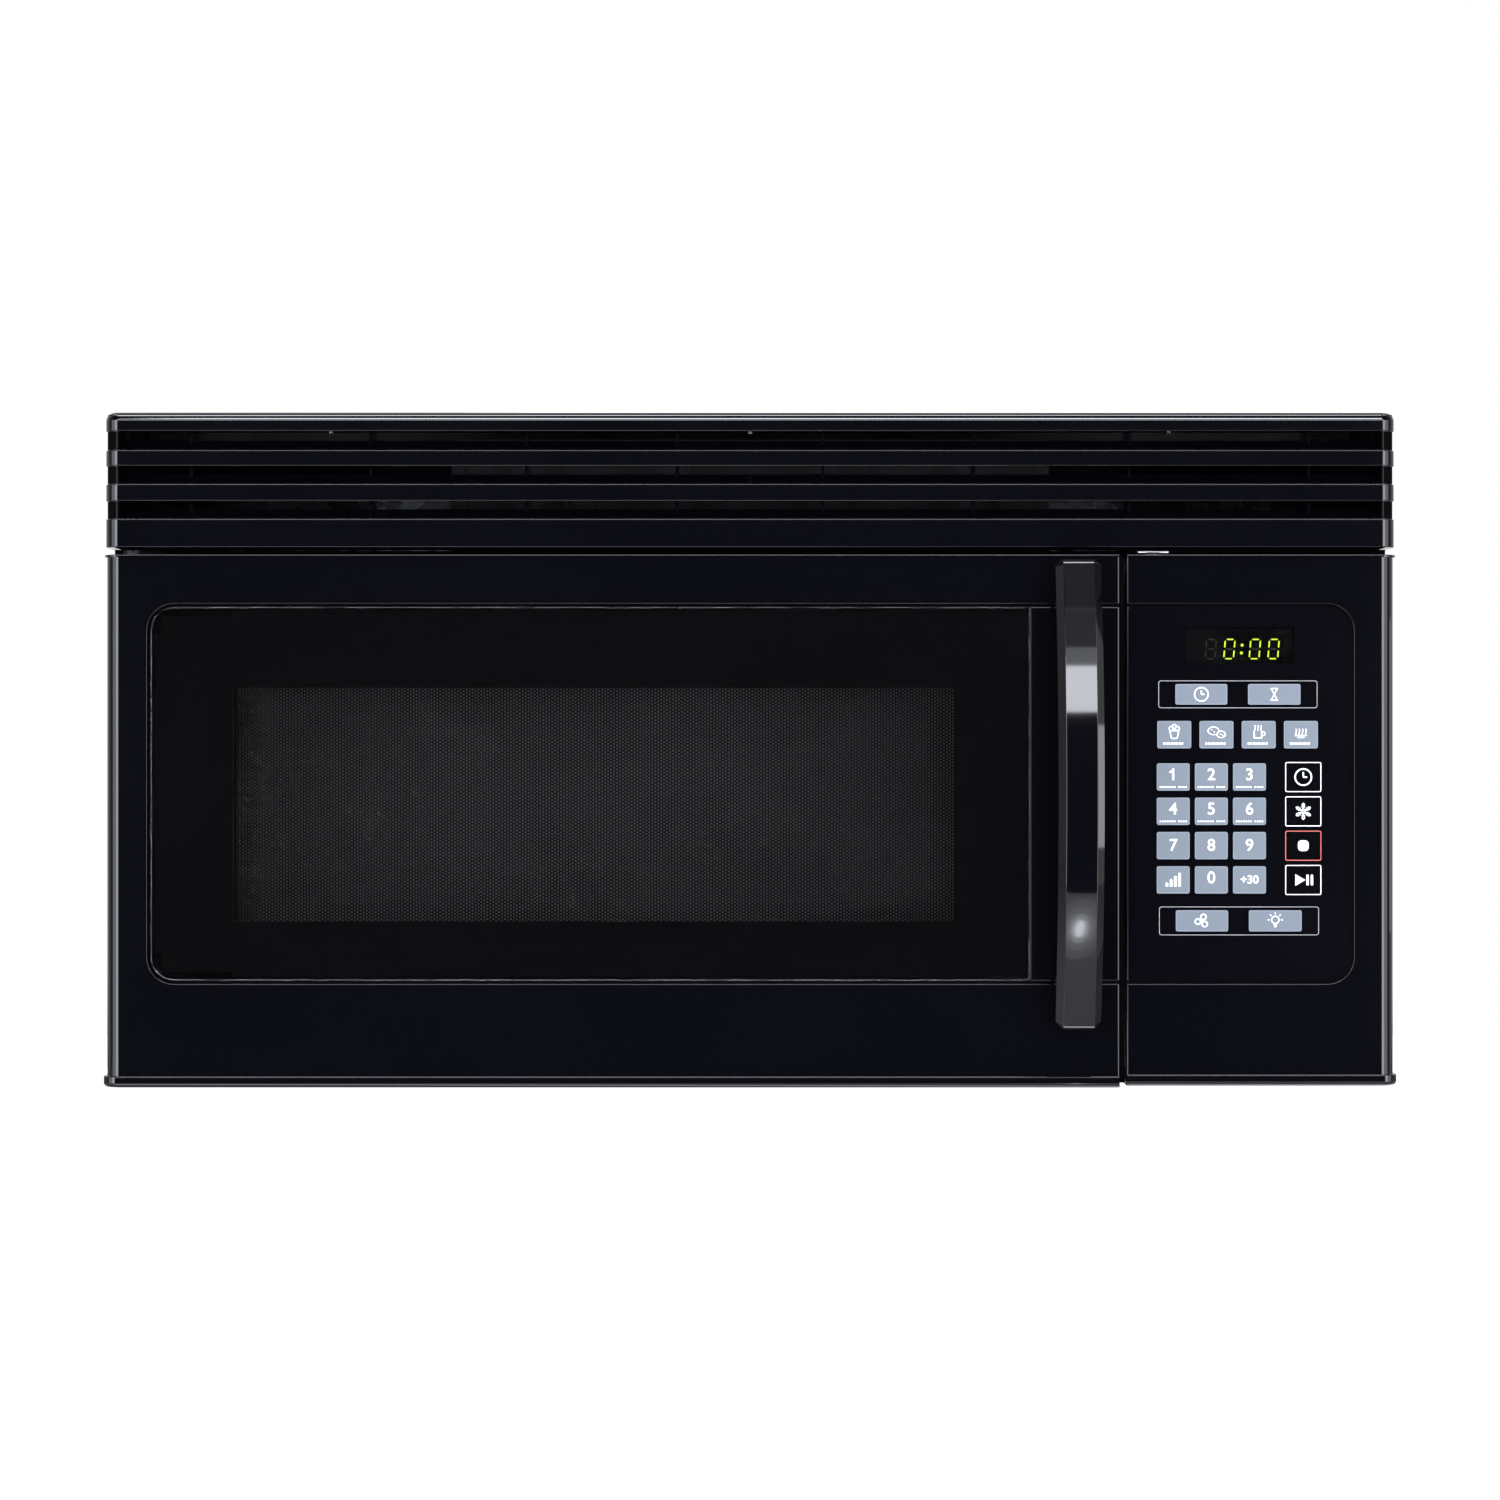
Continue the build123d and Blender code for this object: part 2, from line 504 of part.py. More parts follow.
def blower_housing(side):
    """Scroll with a bell-mouthed inlet on both flanks and a square outlet under the exhaust adapter."""
    middle = side * SCROLL_X
    half = SCROLL_WIDTH / 2
    body = extrude(side_plane(middle - half) * scroll_outline(0), SCROLL_WIDTH)
    body -= extrude(side_plane(middle - half + 1.6) * scroll_outline(1.6), SCROLL_WIDTH - 3.2)
    inlet = rod(middle, BLOWER_Y, BLOWER_Z, WHEEL_RADIUS - 8, SCROLL_WIDTH + 10, "X")
    for flank in (-1, 1):
        lip = rod(middle + flank * (half + 0.8), BLOWER_Y, BLOWER_Z, WHEEL_RADIUS - 6, 1.6, "X")
        body += lip
    body -= inlet
    floor = OVEN_TOP + SHEET + 0.1
    foot = block(middle - 30, middle + 30, BLOWER_Y - 20, BLOWER_Y + 20, floor, floor + 1.4)
    web = block(middle - 30, middle + 30, BLOWER_Y - 1, BLOWER_Y + 1, OVEN_TOP + SHEET + 0.1,
                BLOWER_Z - SCROLL_START - 7)
    return body + foot + web


def blower_wheel(side):
    """Squirrel cage: forward-curved blades between two rings, with a disc hub in the middle."""
    half = WHEEL_WIDTH / 2
    disc = Cylinder(WHEEL_RADIUS - 1, 1.4) + Cylinder(9, 20)
    disc -= Cylinder(SHAFT_RADIUS, 30)
    ring = Cylinder(WHEEL_RADIUS, 1.6) - Cylinder(WHEEL_RADIUS - 7, 1.6)
    wheel = disc + Pos(0, 0, half - 0.8) * ring + Pos(0, 0, 0.8 - half) * ring
    inner, outer = WHEEL_RADIUS - 7, WHEEL_RADIUS
    front = ThreePointArc((inner + 0.4, 0), (inner + 3.2, 1.6), (outer - 0.4, 5.2))
    back = ThreePointArc((outer - 0.6, 4.2), (inner + 3.6, 0.7), (inner + 0.4, -0.9))
    ends = Line((outer - 0.4, 5.2), (outer - 0.6, 4.2)) + Line((inner + 0.4, -0.9), (inner + 0.4, 0))
    blade = extrude(Pos(0, 0, -half + 0.8) * make_face(front + back + ends), WHEEL_WIDTH - 1.6)
    for k in range(WHEEL_BLADES):
        wheel += Rot(0, 0, 360 / WHEEL_BLADES * k) * blade
    return Pos(side * SCROLL_X, BLOWER_Y, BLOWER_Z) * Rot(0, 90, 0) * wheel


def blower_motor():
    """Two-ended motor between the scrolls, on a cradle, with the shaft's bearings in its end bells."""
    can = rod(0, BLOWER_Y, BLOWER_Z, 36, 60, "X")
    can = fillet(can.edges(), 4)
    bells = rod(0, BLOWER_Y, BLOWER_Z, 12, 74, "X")
    part = can + bells
    for side in (-1, 1):
        part += block(side * 24 - 5, side * 24 + 5, BLOWER_Y - 22, BLOWER_Y + 22,
                      OVEN_TOP + SHEET + 0.1, BLOWER_Z - 26)
    return part - rod(0, BLOWER_Y, BLOWER_Z, SHAFT_RADIUS + RUNNING, 90, "X")


def blower_shaft():
    return rod(0, BLOWER_Y, BLOWER_Z, SHAFT_RADIUS, 2 * (SCROLL_X + 14), "X")


def exhaust_adapter():
    """Flanged collar over the outlet, with the ledge that the damper flap rests on."""
    flange = level(BODY_HEIGHT) * Pos(0, DUCT_Y) * (
        RectangleRounded(DUCT_WIDTH + 30, DUCT_DEPTH + 10, 3) - Rectangle(DUCT_WIDTH - 2.4, DUCT_DEPTH - 2.4))
    part = extrude(flange, SHEET)
    collar = level(BODY_HEIGHT) * Pos(0, DUCT_Y) * (
        Rectangle(DUCT_WIDTH, DUCT_DEPTH) - Rectangle(DUCT_WIDTH - 2.4, DUCT_DEPTH - 2.4))
    part += extrude(collar, FLUE_RISE)
    ledge = level(FLAP_Z - 2.2) * Pos(0, DUCT_Y) * (
        Rectangle(DUCT_WIDTH - 2, DUCT_DEPTH - 2) - Rectangle(DUCT_WIDTH - 12, DUCT_DEPTH - 12))
    part += extrude(ledge, 1.2)
    for side in (-1, 1):
        part -= rod(side * DUCT_WIDTH / 2, FLAP_HINGE_Y, FLAP_HINGE_Z, 1.5 + RUNNING, 12, "X")
    return part


def damper_flap():
    """Light flap on two stub pins, lifted by the blower's air."""
    half = DUCT_WIDTH / 2 - 2.0
    flap = block(-half, half, FLAP_HINGE_Y, DUCT_Y + DUCT_DEPTH / 2 - 2.2, FLAP_Z - 0.7, FLAP_Z + 0.1)
    flap += rod(0, FLAP_HINGE_Y, FLAP_HINGE_Z, 2.4, 2 * half, "X")
    flap += rod(0, FLAP_HINGE_Y, FLAP_HINGE_Z, 1.5, DUCT_WIDTH + 1.2, "X")
    flap += block(-half, half, FLAP_HINGE_Y - 0.6, FLAP_HINGE_Y + 0.6, FLAP_Z - 0.2, FLAP_HINGE_Z)
    return flap


def charcoal_filter():
    """Flat cartridge behind the grille: rim, with a web of bars over the charcoal bed."""
    y = Y_CHASSIS + 18
    rim = front_plane(y) * (window(-180, 180, 322, 386, 4) - window(-172, 172, 330, 378, 2))
    part = extrude(rim, 10)
    bed = extrude(front_plane(y - 2) * window(-173, 173, 329, 379, 2), 6)
    bars = [front_plane(y - 8) * Pos(-150 + 37.5 * k, 354) * Rectangle(2.4, 50) for k in range(9)]
    for bar in bars:
        bed += extrude(bar, 1.6)
    shelf = block(-180, 180, y - 10, y + 4, 320.4, 322.3) + block(-180, 180, y + 2.6, y + 4, 313.5, 321.8)
    return part + bed + shelf


# ---------------------------------------------------------------- grille

def vent_grille():
    """Hood of three long slots that run round both rounded ends, with louvre bars and ribs behind."""
    hood = block(-GRILLE_HALF, GRILLE_HALF, Y_FACE, Y_CHASSIS, GRILLE_LOW, GRILLE_TOP)
    hood = fillet(hood.edges().filter_by(Axis.Z).group_by(Axis.Y)[0], EDGE_RADIUS)
    for group, radius in ((-1, GRILLE_EASE), (0, SLOT_EASE)):
        rim = hood.edges().group_by(Axis.Z)[group].filter_by(lambda e: e.center().Y < Y_CHASSIS - 0.5)
        hood = fillet(rim, radius)
    half = GRILLE_HALF - GRILLE_WALL
    hollow = block(-half, half, Y_FACE + GRILLE_WALL, Y_CHASSIS + 5,
                   GRILLE_LOW + GRILLE_WALL, GRILLE_TOP - GRILLE_WALL)
    hood -= fillet(hollow.edges().filter_by(Axis.Z).group_by(Axis.Y)[0], EDGE_RADIUS - GRILLE_WALL)
    for low, high in GRILLE_SLOTS:
        hood -= block(-GRILLE_HALF - 5, GRILLE_HALF + 5, Y_FACE - 5, Y_CHASSIS - 12, low, high)
    hood = fillet(slot_rims(hood), SLOT_EASE)
    for low, high in GRILLE_SLOTS:
        louvre = Polyline((Y_FACE + 1.2, low - 0.1), (Y_FACE + 13, low + 6.7), (Y_FACE + 13, low + 5.2),
                          (Y_FACE + 1.2, low - 1.6), close=True)
        hood += extrude(side_plane(4 - half) * make_face(louvre), 2 * half - 8)
    for x in GRILLE_RIBS:
        for side in (-1, 1):
            hood += block(side * x - 1, side * x + 1, Y_FACE + 9, Y_CHASSIS - 6,
                          GRILLE_LOW + 1, GRILLE_TOP - 1)
    post = block(GRILLE_HALF - END_POST, GRILLE_HALF - POST_DEPTH, Y_FACE + POST_DEPTH, Y_CHASSIS - 6,
                 GRILLE_LOW + 1, GRILLE_TOP - 1.5)
    outer = post.edges().filter_by(Axis.Z).sort_by(lambda e: e.center().X - e.center().Y)[-1]
    post = fillet(outer, EDGE_RADIUS - POST_DEPTH)
    hood += [post, mirror(post, Plane.YZ)]
    for x in GRILLE_SCREWS:
        hood -= rod(x, Y_CHASSIS - 8, GRILLE_TOP, 1.9, 8)
    return hood


def slot_rims(hood):
    """Edges of the slots on the hood's outer faces."""
    levels = [z for slot in GRILLE_SLOTS for z in slot]

    def outer(edge):
        middle = edge.center()
        on_level = any(abs(middle.Z - z) < 0.01 for z in levels)
        on_front = abs(middle.Y - Y_FACE) < 0.01 or abs(abs(middle.X) - GRILLE_HALF) < 0.01
        on_end = edge.geom_type == GeomType.CIRCLE and abs(edge.radius - EDGE_RADIUS) < 0.01
        return on_level and (on_front or on_end)

    return hood.edges().filter_by(outer)


# ---------------------------------------------------------------- door

def insert_groove(x_low, x_high):
    """Groove round the shared insert, cut to the stretch that lies on one moulding."""
    outer = window(INSERT_LEFT, INSERT_RIGHT, INSERT_LOW, INSERT_TOP, INSERT_RADIUS)
    inner = window(INSERT_LEFT + GROOVE, INSERT_RIGHT - GROOVE, INSERT_LOW + GROOVE, INSERT_TOP - GROOVE,
                   INSERT_RADIUS - GROOVE)
    ring = extrude(front_plane(Y_FACE + 1.0) * (outer - inner), 2)
    return ring & block(x_low, x_high, Y_FACE - 5, Y_FACE + 5, 0, 400)


def ease_insert(body):
    """Round the front edges along the insert's outline, leaving the upright edges at the door gap."""
    def wanted(edge):
        box = edge.bounding_box()
        flat = abs(box.min.Y - Y_FACE) < 0.02 and abs(box.max.Y - Y_FACE) < 0.02
        across = box.min.X > INSERT_LEFT - 0.1 and box.max.X < INSERT_RIGHT + 0.1
        upright = box.min.Z > INSERT_LOW - 0.1 and box.max.Z < INSERT_TOP + 0.1
        at_gap = box.max.X - box.min.X < 0.1 and DOOR_RIGHT - 2 < box.min.X < PANEL_LEFT + 2
        return flat and across and upright and not at_gap

    return fillet(body.edges().filter_by(wanted), 0.45)


def moulding(x_low, x_high, rounded, low):
    """Hollow front moulding with one rounded upright end, top lip and bottom lip."""
    body = block(x_low, x_high, Y_FACE, Y_CHASSIS - 2, low, DOOR_TOP)
    body = fillet(upright_edges(body, rounded), EDGE_RADIUS)
    body = fillet(upright_edges(body, -1 - rounded).sort_by(Axis.Y)[0:1], 1.2)
    hollow = block(x_low + SKIN, x_high - SKIN, Y_FACE + SKIN, Y_CHASSIS + 5, low + SKIN, DOOR_TOP - SKIN)
    hollow = fillet(upright_edges(hollow, rounded).sort_by(Axis.Y)[0:1], EDGE_RADIUS - SKIN)
    shell = body - hollow
    lip_low, lip_high = x_low + 0.4, x_high - 0.4
    if rounded == 0:
        lip_low = -WIDTH / 2
    else:
        lip_high = WIDTH / 2
    lip = block(lip_low, lip_high, Y_FACE - LIP_PROUD, Y_FACE + 23, low, low + LIP_HEIGHT)
    lip = fillet(upright_edges(lip, rounded).sort_by(Axis.Y)[0:1], EDGE_RADIUS)
    lip = fillet(lip.edges().group_by(Axis.Z)[0].filter_by(lambda e: e.center().Y < Y_FACE + 22), 2.6)
    lip = fillet(lip.edges().group_by(Axis.Z)[-1].filter_by(lambda e: e.center().Y < Y_FACE + 22), 0.8)
    core = block(x_low + 3, x_high - 3, Y_FACE + 3, Y_FACE + 40, low + 3, low + 20)
    return shell + (lip - core) + top_lip(x_low, x_high, rounded)


def top_lip(x_low, x_high, rounded):
    """Thin rim that stands proud along the top of a front moulding."""
    overhang = 1.2
    low = x_low - overhang if rounded == 0 else x_low + 0.4
    high = x_high - 0.4 if rounded == 0 else x_high + overhang
    rim = block(low, high, Y_FACE - TOP_LIP_PROUD, Y_FACE + 23, DOOR_TOP - TOP_LIP_HEIGHT, DOOR_TOP)
    rim = fillet(upright_edges(rim, rounded).sort_by(Axis.Y)[0:1], EDGE_RADIUS)
    rim = fillet(rim.edges().group_by(Axis.Z)[-1].filter_by(lambda e: e.center().Y < Y_FACE + 22), 0.5)
    return rim


def door_frame():
    """Outer door moulding: aperture and ledge for the pane, hinge bosses, latch guide and handle holes."""
    frame = moulding(-FRONT_WIDTH / 2, DOOR_RIGHT, 0, FRONT_LOW)
    opening = window(INSERT_LEFT, SEAM_RIGHT + 40, INSERT_LOW, INSERT_TOP, INSERT_RADIUS)
    right_cut = Pos(SEAM_RIGHT + 50, 200) * Rectangle(100, 500)
    aperture = extrude(front_plane(Y_FACE + 8) * (opening - right_cut), 12)
    ledge = front_plane(Y_FACE + PANE_THICK + 2.8) * (
        window(INSERT_LEFT - 5, SEAM_RIGHT + 6, INSERT_LOW - 5, INSERT_TOP + 5, INSERT_RADIUS)
        - window(INSERT_LEFT + 9, SEAM_RIGHT - 9, INSERT_LOW + 9, INSERT_TOP - 9, 8))
    frame -= aperture
    frame += extrude(ledge, 2.2)
    frame = ease_insert(frame - insert_groove(SEAM_RIGHT, DOOR_RIGHT + 1))
    # stiffening ribs across the hollow above and below the aperture
    for x in (-250, -125, 0, 125):
        frame += block(x - 1, x + 1, Y_FACE + 2, Y_FACE + 11, INSERT_TOP + 4, DOOR_TOP - 2)
        frame += block(x - 1, x + 1, Y_FACE + 2, Y_FACE + 11, FRONT_LOW + 2, INSERT_LOW - 4)
    # hinge bosses and the notch that the lower hinge arm swings in
    frame -= block(-400, HINGE_X + 26, Y_FACE + 5, Y_CHASSIS, 7.3, 11.4)
    for low, high in ((11.4, 26), (300, DOOR_TOP - 1)):
        boss = block(HINGE_X - 9, HINGE_X + 8, Y_FACE + 2, HINGE_Y + 8, low, high)
        frame += boss
    frame -= rod(HINGE_X, HINGE_Y, 18, HINGE_PIN + RUNNING, 12) + rod(HINGE_X, HINGE_Y, 11, 3.4, 8)
    frame -= rod(HINGE_X, HINGE_Y, 309, HINGE_PIN + RUNNING, 14)
    # moulded channel that the latch slide runs in
    low, high = LATCH_HEIGHTS[0] - 20, LATCH_HEIGHTS[1] + 34
    frame += block(LATCH_X - 5, LATCH_X + 5, Y_FACE + SKIN - 1, CHOKE_FRONT + 13, low, high)
    frame -= block(LATCH_X - 3, LATCH_X + 3, CHOKE_FRONT + 1.5, CHOKE_FRONT + 20, low + 5.5, high - 3)
    # handle screw holes
    for z in HANDLE_SCREWS:
        frame -= rod(HANDLE_X, Y_FACE, z, 2.6, 20, "Y")
    return frame


def door_window():
    """Dark pane, with a slim joint to the moulding all round."""
    left, low, top = INSERT_LEFT + GROOVE, INSERT_LOW + GROOVE, INSERT_TOP - GROOVE
    outline = window(left, SEAM_RIGHT + 40, low, top, INSERT_RADIUS - GROOVE)
    outline -= Pos(SEAM_RIGHT - 0.4 + 50, 200) * Rectangle(100, 500)
    pane = extrude(front_plane(Y_FACE + PANE_THICK + 0.4) * outline, PANE_THICK)
    return fillet(pane.faces().sort_by(Axis.Y)[0].edges(), 0.5)


def door_screen():
    """Pressed steel choke panel: deep channel round the edge and the raised screen field in the middle."""
    pan = block(CHOKE_LEFT, CHOKE_RIGHT, CHOKE_FRONT, Y_CHASSIS - 4.6, CHOKE_LOW, CHOKE_TOP)
    pan = fillet(pan.edges().filter_by(Axis.Y), 8)
    pan = offset(pan, -SCREEN_THICK, openings=pan.faces().sort_by(Axis.Y)[-1])
    field = window(CHOKE_LEFT + CHOKE_BAND, CHOKE_RIGHT - CHOKE_BAND,
                   CHOKE_LOW + CHOKE_BAND, CHOKE_TOP - CHOKE_BAND, 5)
    raised = extrude(front_plane(SCREEN_Y + SCREEN_THICK) * field, SCREEN_Y + SCREEN_THICK - CHOKE_FRONT)
    raised = offset(raised, -SCREEN_THICK, openings=raised.faces().sort_by(Axis.Y)[0])
    pan -= extrude(front_plane(CHOKE_FRONT + 3) * offset(field, -SCREEN_THICK), 6)
    pan += raised
    screen = window(SCREEN_LEFT, SCREEN_RIGHT, SCREEN_LOW, SCREEN_TOP, 2)
    pan -= extrude(front_plane(SCREEN_Y + 3) * screen, 6)
    # lines of slits that split the choke channel's outer wall into teeth
    for k in range(16):
        z = CHOKE_LOW + 20 + 15.5 * k
        for x in (CHOKE_LEFT, CHOKE_RIGHT):
            pan -= block(x - 3, x + 3, CHOKE_FRONT + 5, Y_CHASSIS, z - 1.2, z + 1.2)
    for z in HANDLE_SCREWS:
        pan -= rod(HANDLE_X, CHOKE_FRONT, z, 8, 8, "Y")
    return pan


def perforated_screen():
    """Punched sheet spot-welded behind the opening of the choke panel, plain where the holes go."""
    sheet = front_plane(SCREEN_Y + 2 * SCREEN_THICK + 0.1) * window(
        SCREEN_LEFT - 9, SCREEN_RIGHT + 9, SCREEN_LOW - 9, SCREEN_TOP + 9, 3)
    return extrude(sheet, 0.7)


def inner_window():
    """Clear sheet that closes the screen towards the oven."""
    field = window(CHOKE_LEFT + CHOKE_BAND + 6, CHOKE_RIGHT - CHOKE_BAND - 6, CHOKE_LOW + CHOKE_BAND + 6,
                   CHOKE_TOP - CHOKE_BAND - 6, 4)
    return extrude(front_plane(SCREEN_Y + 2 * SCREEN_THICK + 2.2) * field, 1.8)


def choke_cover():
    """Plastic frame that snaps over the choke channel, with the lip that holds the clear sheet."""
    back = Y_CHASSIS - 1.8
    ring = window(CHOKE_LEFT - 6, CHOKE_RIGHT + 6, CHOKE_LOW - 6, CHOKE_TOP + 6, 10)
    ring -= window(CHOKE_LEFT + CHOKE_BAND + 14, CHOKE_RIGHT - CHOKE_BAND - 14,
                   CHOKE_LOW + CHOKE_BAND + 14, CHOKE_TOP - CHOKE_BAND - 14, 6)
    part = extrude(front_plane(back) * ring, 2)
    part = fillet(part.faces().sort_by(Axis.Y)[-1].outer_wire().edges(), 1)
    return part


def door_handle():
    """Bowed bar with a flat front facet, bevelled flanks and two feet against the door."""
    middle = (HANDLE_LOW + HANDLE_TOP) / 2
    half = (HANDLE_TOP - HANDLE_LOW) / 2
    foot = half - HANDLE_FOOT
    crook = HANDLE_END * 0.45
    reach = HANDLE_PROUD - HANDLE_THICK
    outer = ThreePointArc((-half, HANDLE_END), (0, HANDLE_PROUD), (half, HANDLE_END))
    inner = ThreePointArc((foot, crook), (0, reach), (-foot, crook))
    ends = Polyline((half, HANDLE_END), (half, 0), (foot, 0), (foot, crook))
    ends += Polyline((-foot, crook), (-foot, 0), (-half, 0), (-half, HANDLE_END))
    side = make_face(outer + inner + ends)
    plane = Plane(origin=(HANDLE_X - HANDLE_WIDTH / 2, Y_FACE, middle), x_dir=(0, 0, 1), z_dir=(1, 0, 0))
    bar = extrude(plane * side, HANDLE_WIDTH)
    tips = bar.edges().filter_by(Axis.X).filter_by(lambda e: abs(e.center().Y - (Y_FACE - HANDLE_END)) < 0.5)
    bar = fillet(tips, HANDLE_TIP)
    crooks = bar.edges().filter_by(Axis.X).filter_by(lambda e: abs(e.center().Y - (Y_FACE - crook)) < 0.5)
    bar = fillet(crooks.filter_by(lambda e: abs(e.center().Z - middle) < foot + 1), 7)
    bevel = (HANDLE_WIDTH - HANDLE_FACET) / 2
    front = bar.edges().filter_by(lambda e: abs(abs(e.center().X - HANDLE_X) - HANDLE_WIDTH / 2) < 0.01)
    front = front.filter_by(lambda e: e.center().Y < Y_FACE - 10 and e.length > 20)
    bends = front.filter_by(lambda e: abs(e.center().Z - middle) > foot - 9 and e.center().Y < Y_FACE - 14)
    bow = front.filter_by(lambda e: abs(e.center().Z - middle) <= foot - 9 and e.center().Y < Y_FACE - 26)
    bar = chamfer([*bends, *bow], bevel)
    facet = bar.edges().filter_by(lambda e: abs(abs(e.center().X - HANDLE_X) - HANDLE_FACET / 2) < 0.05)
    bar = fillet(facet.filter_by(lambda e: e.center().Y < Y_FACE - 10 and e.length > 15), 0.5)
    for z in HANDLE_SCREWS:
        bar -= rod(HANDLE_X, Y_FACE, z, 2.2, 22, "Y")
    return bar


def handle_screws():
    """Pan head screws from inside the door into the handle's feet."""
    screws = []
    for z in HANDLE_SCREWS:
        shank = rod(HANDLE_X, Y_FACE - 2, z, 2.0, 14, "Y")
        head = rod(HANDLE_X, Y_FACE + SKIN + 1.6, z, 4.6, 2.8, "Y")
        neck = rod(HANDLE_X, Y_FACE + 3, z, 2.0, 3, "Y")
        screws.append(shank + fillet(head.edges().sort_by(Axis.Y)[-1], 1) + neck)
    return Compound(children=screws)


def latch_hooks():
    """One moulded slide with an upper and a lower hook that reach through the front plate's slots."""
    x = LATCH_X
    stem = block(x - 2.5, x + 2.5, CHOKE_FRONT + 2, CHOKE_FRONT + 12,
                 LATCH_HEIGHTS[0] - 14, LATCH_HEIGHTS[1] + 14)
    for z in LATCH_HEIGHTS:
        hook = Polyline((CHOKE_FRONT + 8, z - 5), (Y_CHASSIS + 13, z - 5), (Y_CHASSIS + 17, z - 1),
                        (Y_CHASSIS + 13, z + 8), (Y_CHASSIS + 7, z + 8), (Y_CHASSIS + 7, z + 3),
                        (CHOKE_FRONT + 8, z + 5), close=True)
        stem += extrude(side_plane(x - 2) * make_face(hook), 4)
    stem += block(x - 2.5, x + 2.5, CHOKE_FRONT + 3, CHOKE_FRONT + 11,
                  LATCH_HEIGHTS[1] + 13, LATCH_HEIGHTS[1] + 16)
    return stem


def latch_spring():
    """Light coil between the top of the slide and the guide."""
    x = LATCH_X
    coil = rod(x, CHOKE_FRONT + 7, LATCH_HEIGHTS[1] + 23.4, 2.6, 14.6)
    return coil - rod(x, CHOKE_FRONT + 7, LATCH_HEIGHTS[1] + 23.4, 1.6, 20)


def hinge_bracket(top):
    """Plate on the front of the chassis with an arm and a riveted pin."""
    arm_low = 314.6 if top else 8.1
    arm_high = arm_low + 2.5
    outline = Polyline((HINGE_X - 6, Y_CHASSIS - 0.1), (HINGE_X - 6, HINGE_Y), (HINGE_X + 6, HINGE_Y),
                       (HINGE_X + 20, Y_CHASSIS - 0.1), close=True)
    arm = extrude(level(arm_low) * (make_face(outline) + Pos(HINGE_X, HINGE_Y) * Circle(6)), 2.5)
    pin_low, pin_high = (303.5, arm_high) if top else (arm_low, 21.5)
    pin = rod(HINGE_X, HINGE_Y, (pin_low + pin_high) / 2, HINGE_PIN, pin_high - pin_low)
    return arm + pin


def hinge_brackets():
    return Compound(children=[hinge_bracket(True), hinge_bracket(False)])


# ---------------------------------------------------------------- latch side of the chassis

def latch_housing():
    """Moulded bracket behind the front plate that the hooks reach into; it carries the switches."""
    x = LATCH_X
    body = block(x - 8, x + 9, Y_CHASSIS + SHEET + 0.1, Y_CHASSIS + 30, 84, 266)
    body -= block(x - 6, x + 7, Y_CHASSIS - 1, Y_CHASSIS + 22, 92, 132)
    body -= block(x - 6, x + 7, Y_CHASSIS - 1, Y_CHASSIS + 22, 220, 258)
    body -= block(x - 6, x + 20, Y_CHASSIS + 4, Y_CHASSIS + 40, 138, 214)
    return body


def interlock_switches():
    """Three snap switches, each with its plunger and blades."""
    switches = []
    for z in (152, 176, 200):
        body = block(LATCH_X - 5.5, LATCH_X + 4.5, Y_CHASSIS + 6, Y_CHASSIS + 26, z - 8, z + 8)
        body += block(LATCH_X - 1.5, LATCH_X + 1.5, Y_CHASSIS + 4.6, Y_CHASSIS + 6, z + 3, z + 5)
        for step in (-5, 0, 5):
            body += block(LATCH_X + 0.2, LATCH_X + 1, Y_CHASSIS + 26, Y_CHASSIS + 33,
                          z + step - 1.5, z + step + 1.5)
        switches.append(body)
    return Compound(children=switches)


# ---------------------------------------------------------------- controls

def control_frame():
    """Outer moulding of the control panel with the recess for the keypad and the display opening."""
    frame = moulding(PANEL_LEFT, FRONT_WIDTH / 2, -1, PANEL_LOW)
    recess = window(PANEL_LEFT - 40, INSERT_RIGHT - GROOVE, INSERT_LOW + GROOVE, INSERT_TOP - GROOVE,
                    INSERT_RADIUS - GROOVE)
    recess = recess & Pos(PANEL_LEFT + 1.6 + 100, 200) * Rectangle(200, 500)
    frame -= extrude(front_plane(Y_FACE + 0.6) * recess, 3)
    frame = ease_insert(frame - insert_groove(PANEL_LEFT - 1, INSERT_RIGHT + 1))
    display = window(DISPLAY_LEFT, DISPLAY_RIGHT, DISPLAY_LOW, DISPLAY_TOP, 1)
    frame -= extrude(front_plane(Y_FACE + 8) * display, 10)
    boss = rod(PANEL_BOSS_X, Y_FACE + 13, DOOR_TOP + 0.8, 9, 2)
    frame += fillet(boss.edges().group_by(Axis.Z)[-1], 1.4)
    # screw lugs to the chassis
    for z in (24, 290):
        frame += block(330, 350, Y_CHASSIS - 12, Y_CHASSIS - 2, z - 6, z + 6)
        frame += block(330, 350, Y_FACE + 2, Y_CHASSIS - 10, z - 1, z + 1)
    return frame


def display_window():
    lens = extrude(front_plane(Y_FACE + 2.6) * window(
        DISPLAY_LEFT + 0.2, DISPLAY_RIGHT - 0.2, DISPLAY_LOW + 0.2, DISPLAY_TOP - 0.2, 0.9), 2.4)
    return lens


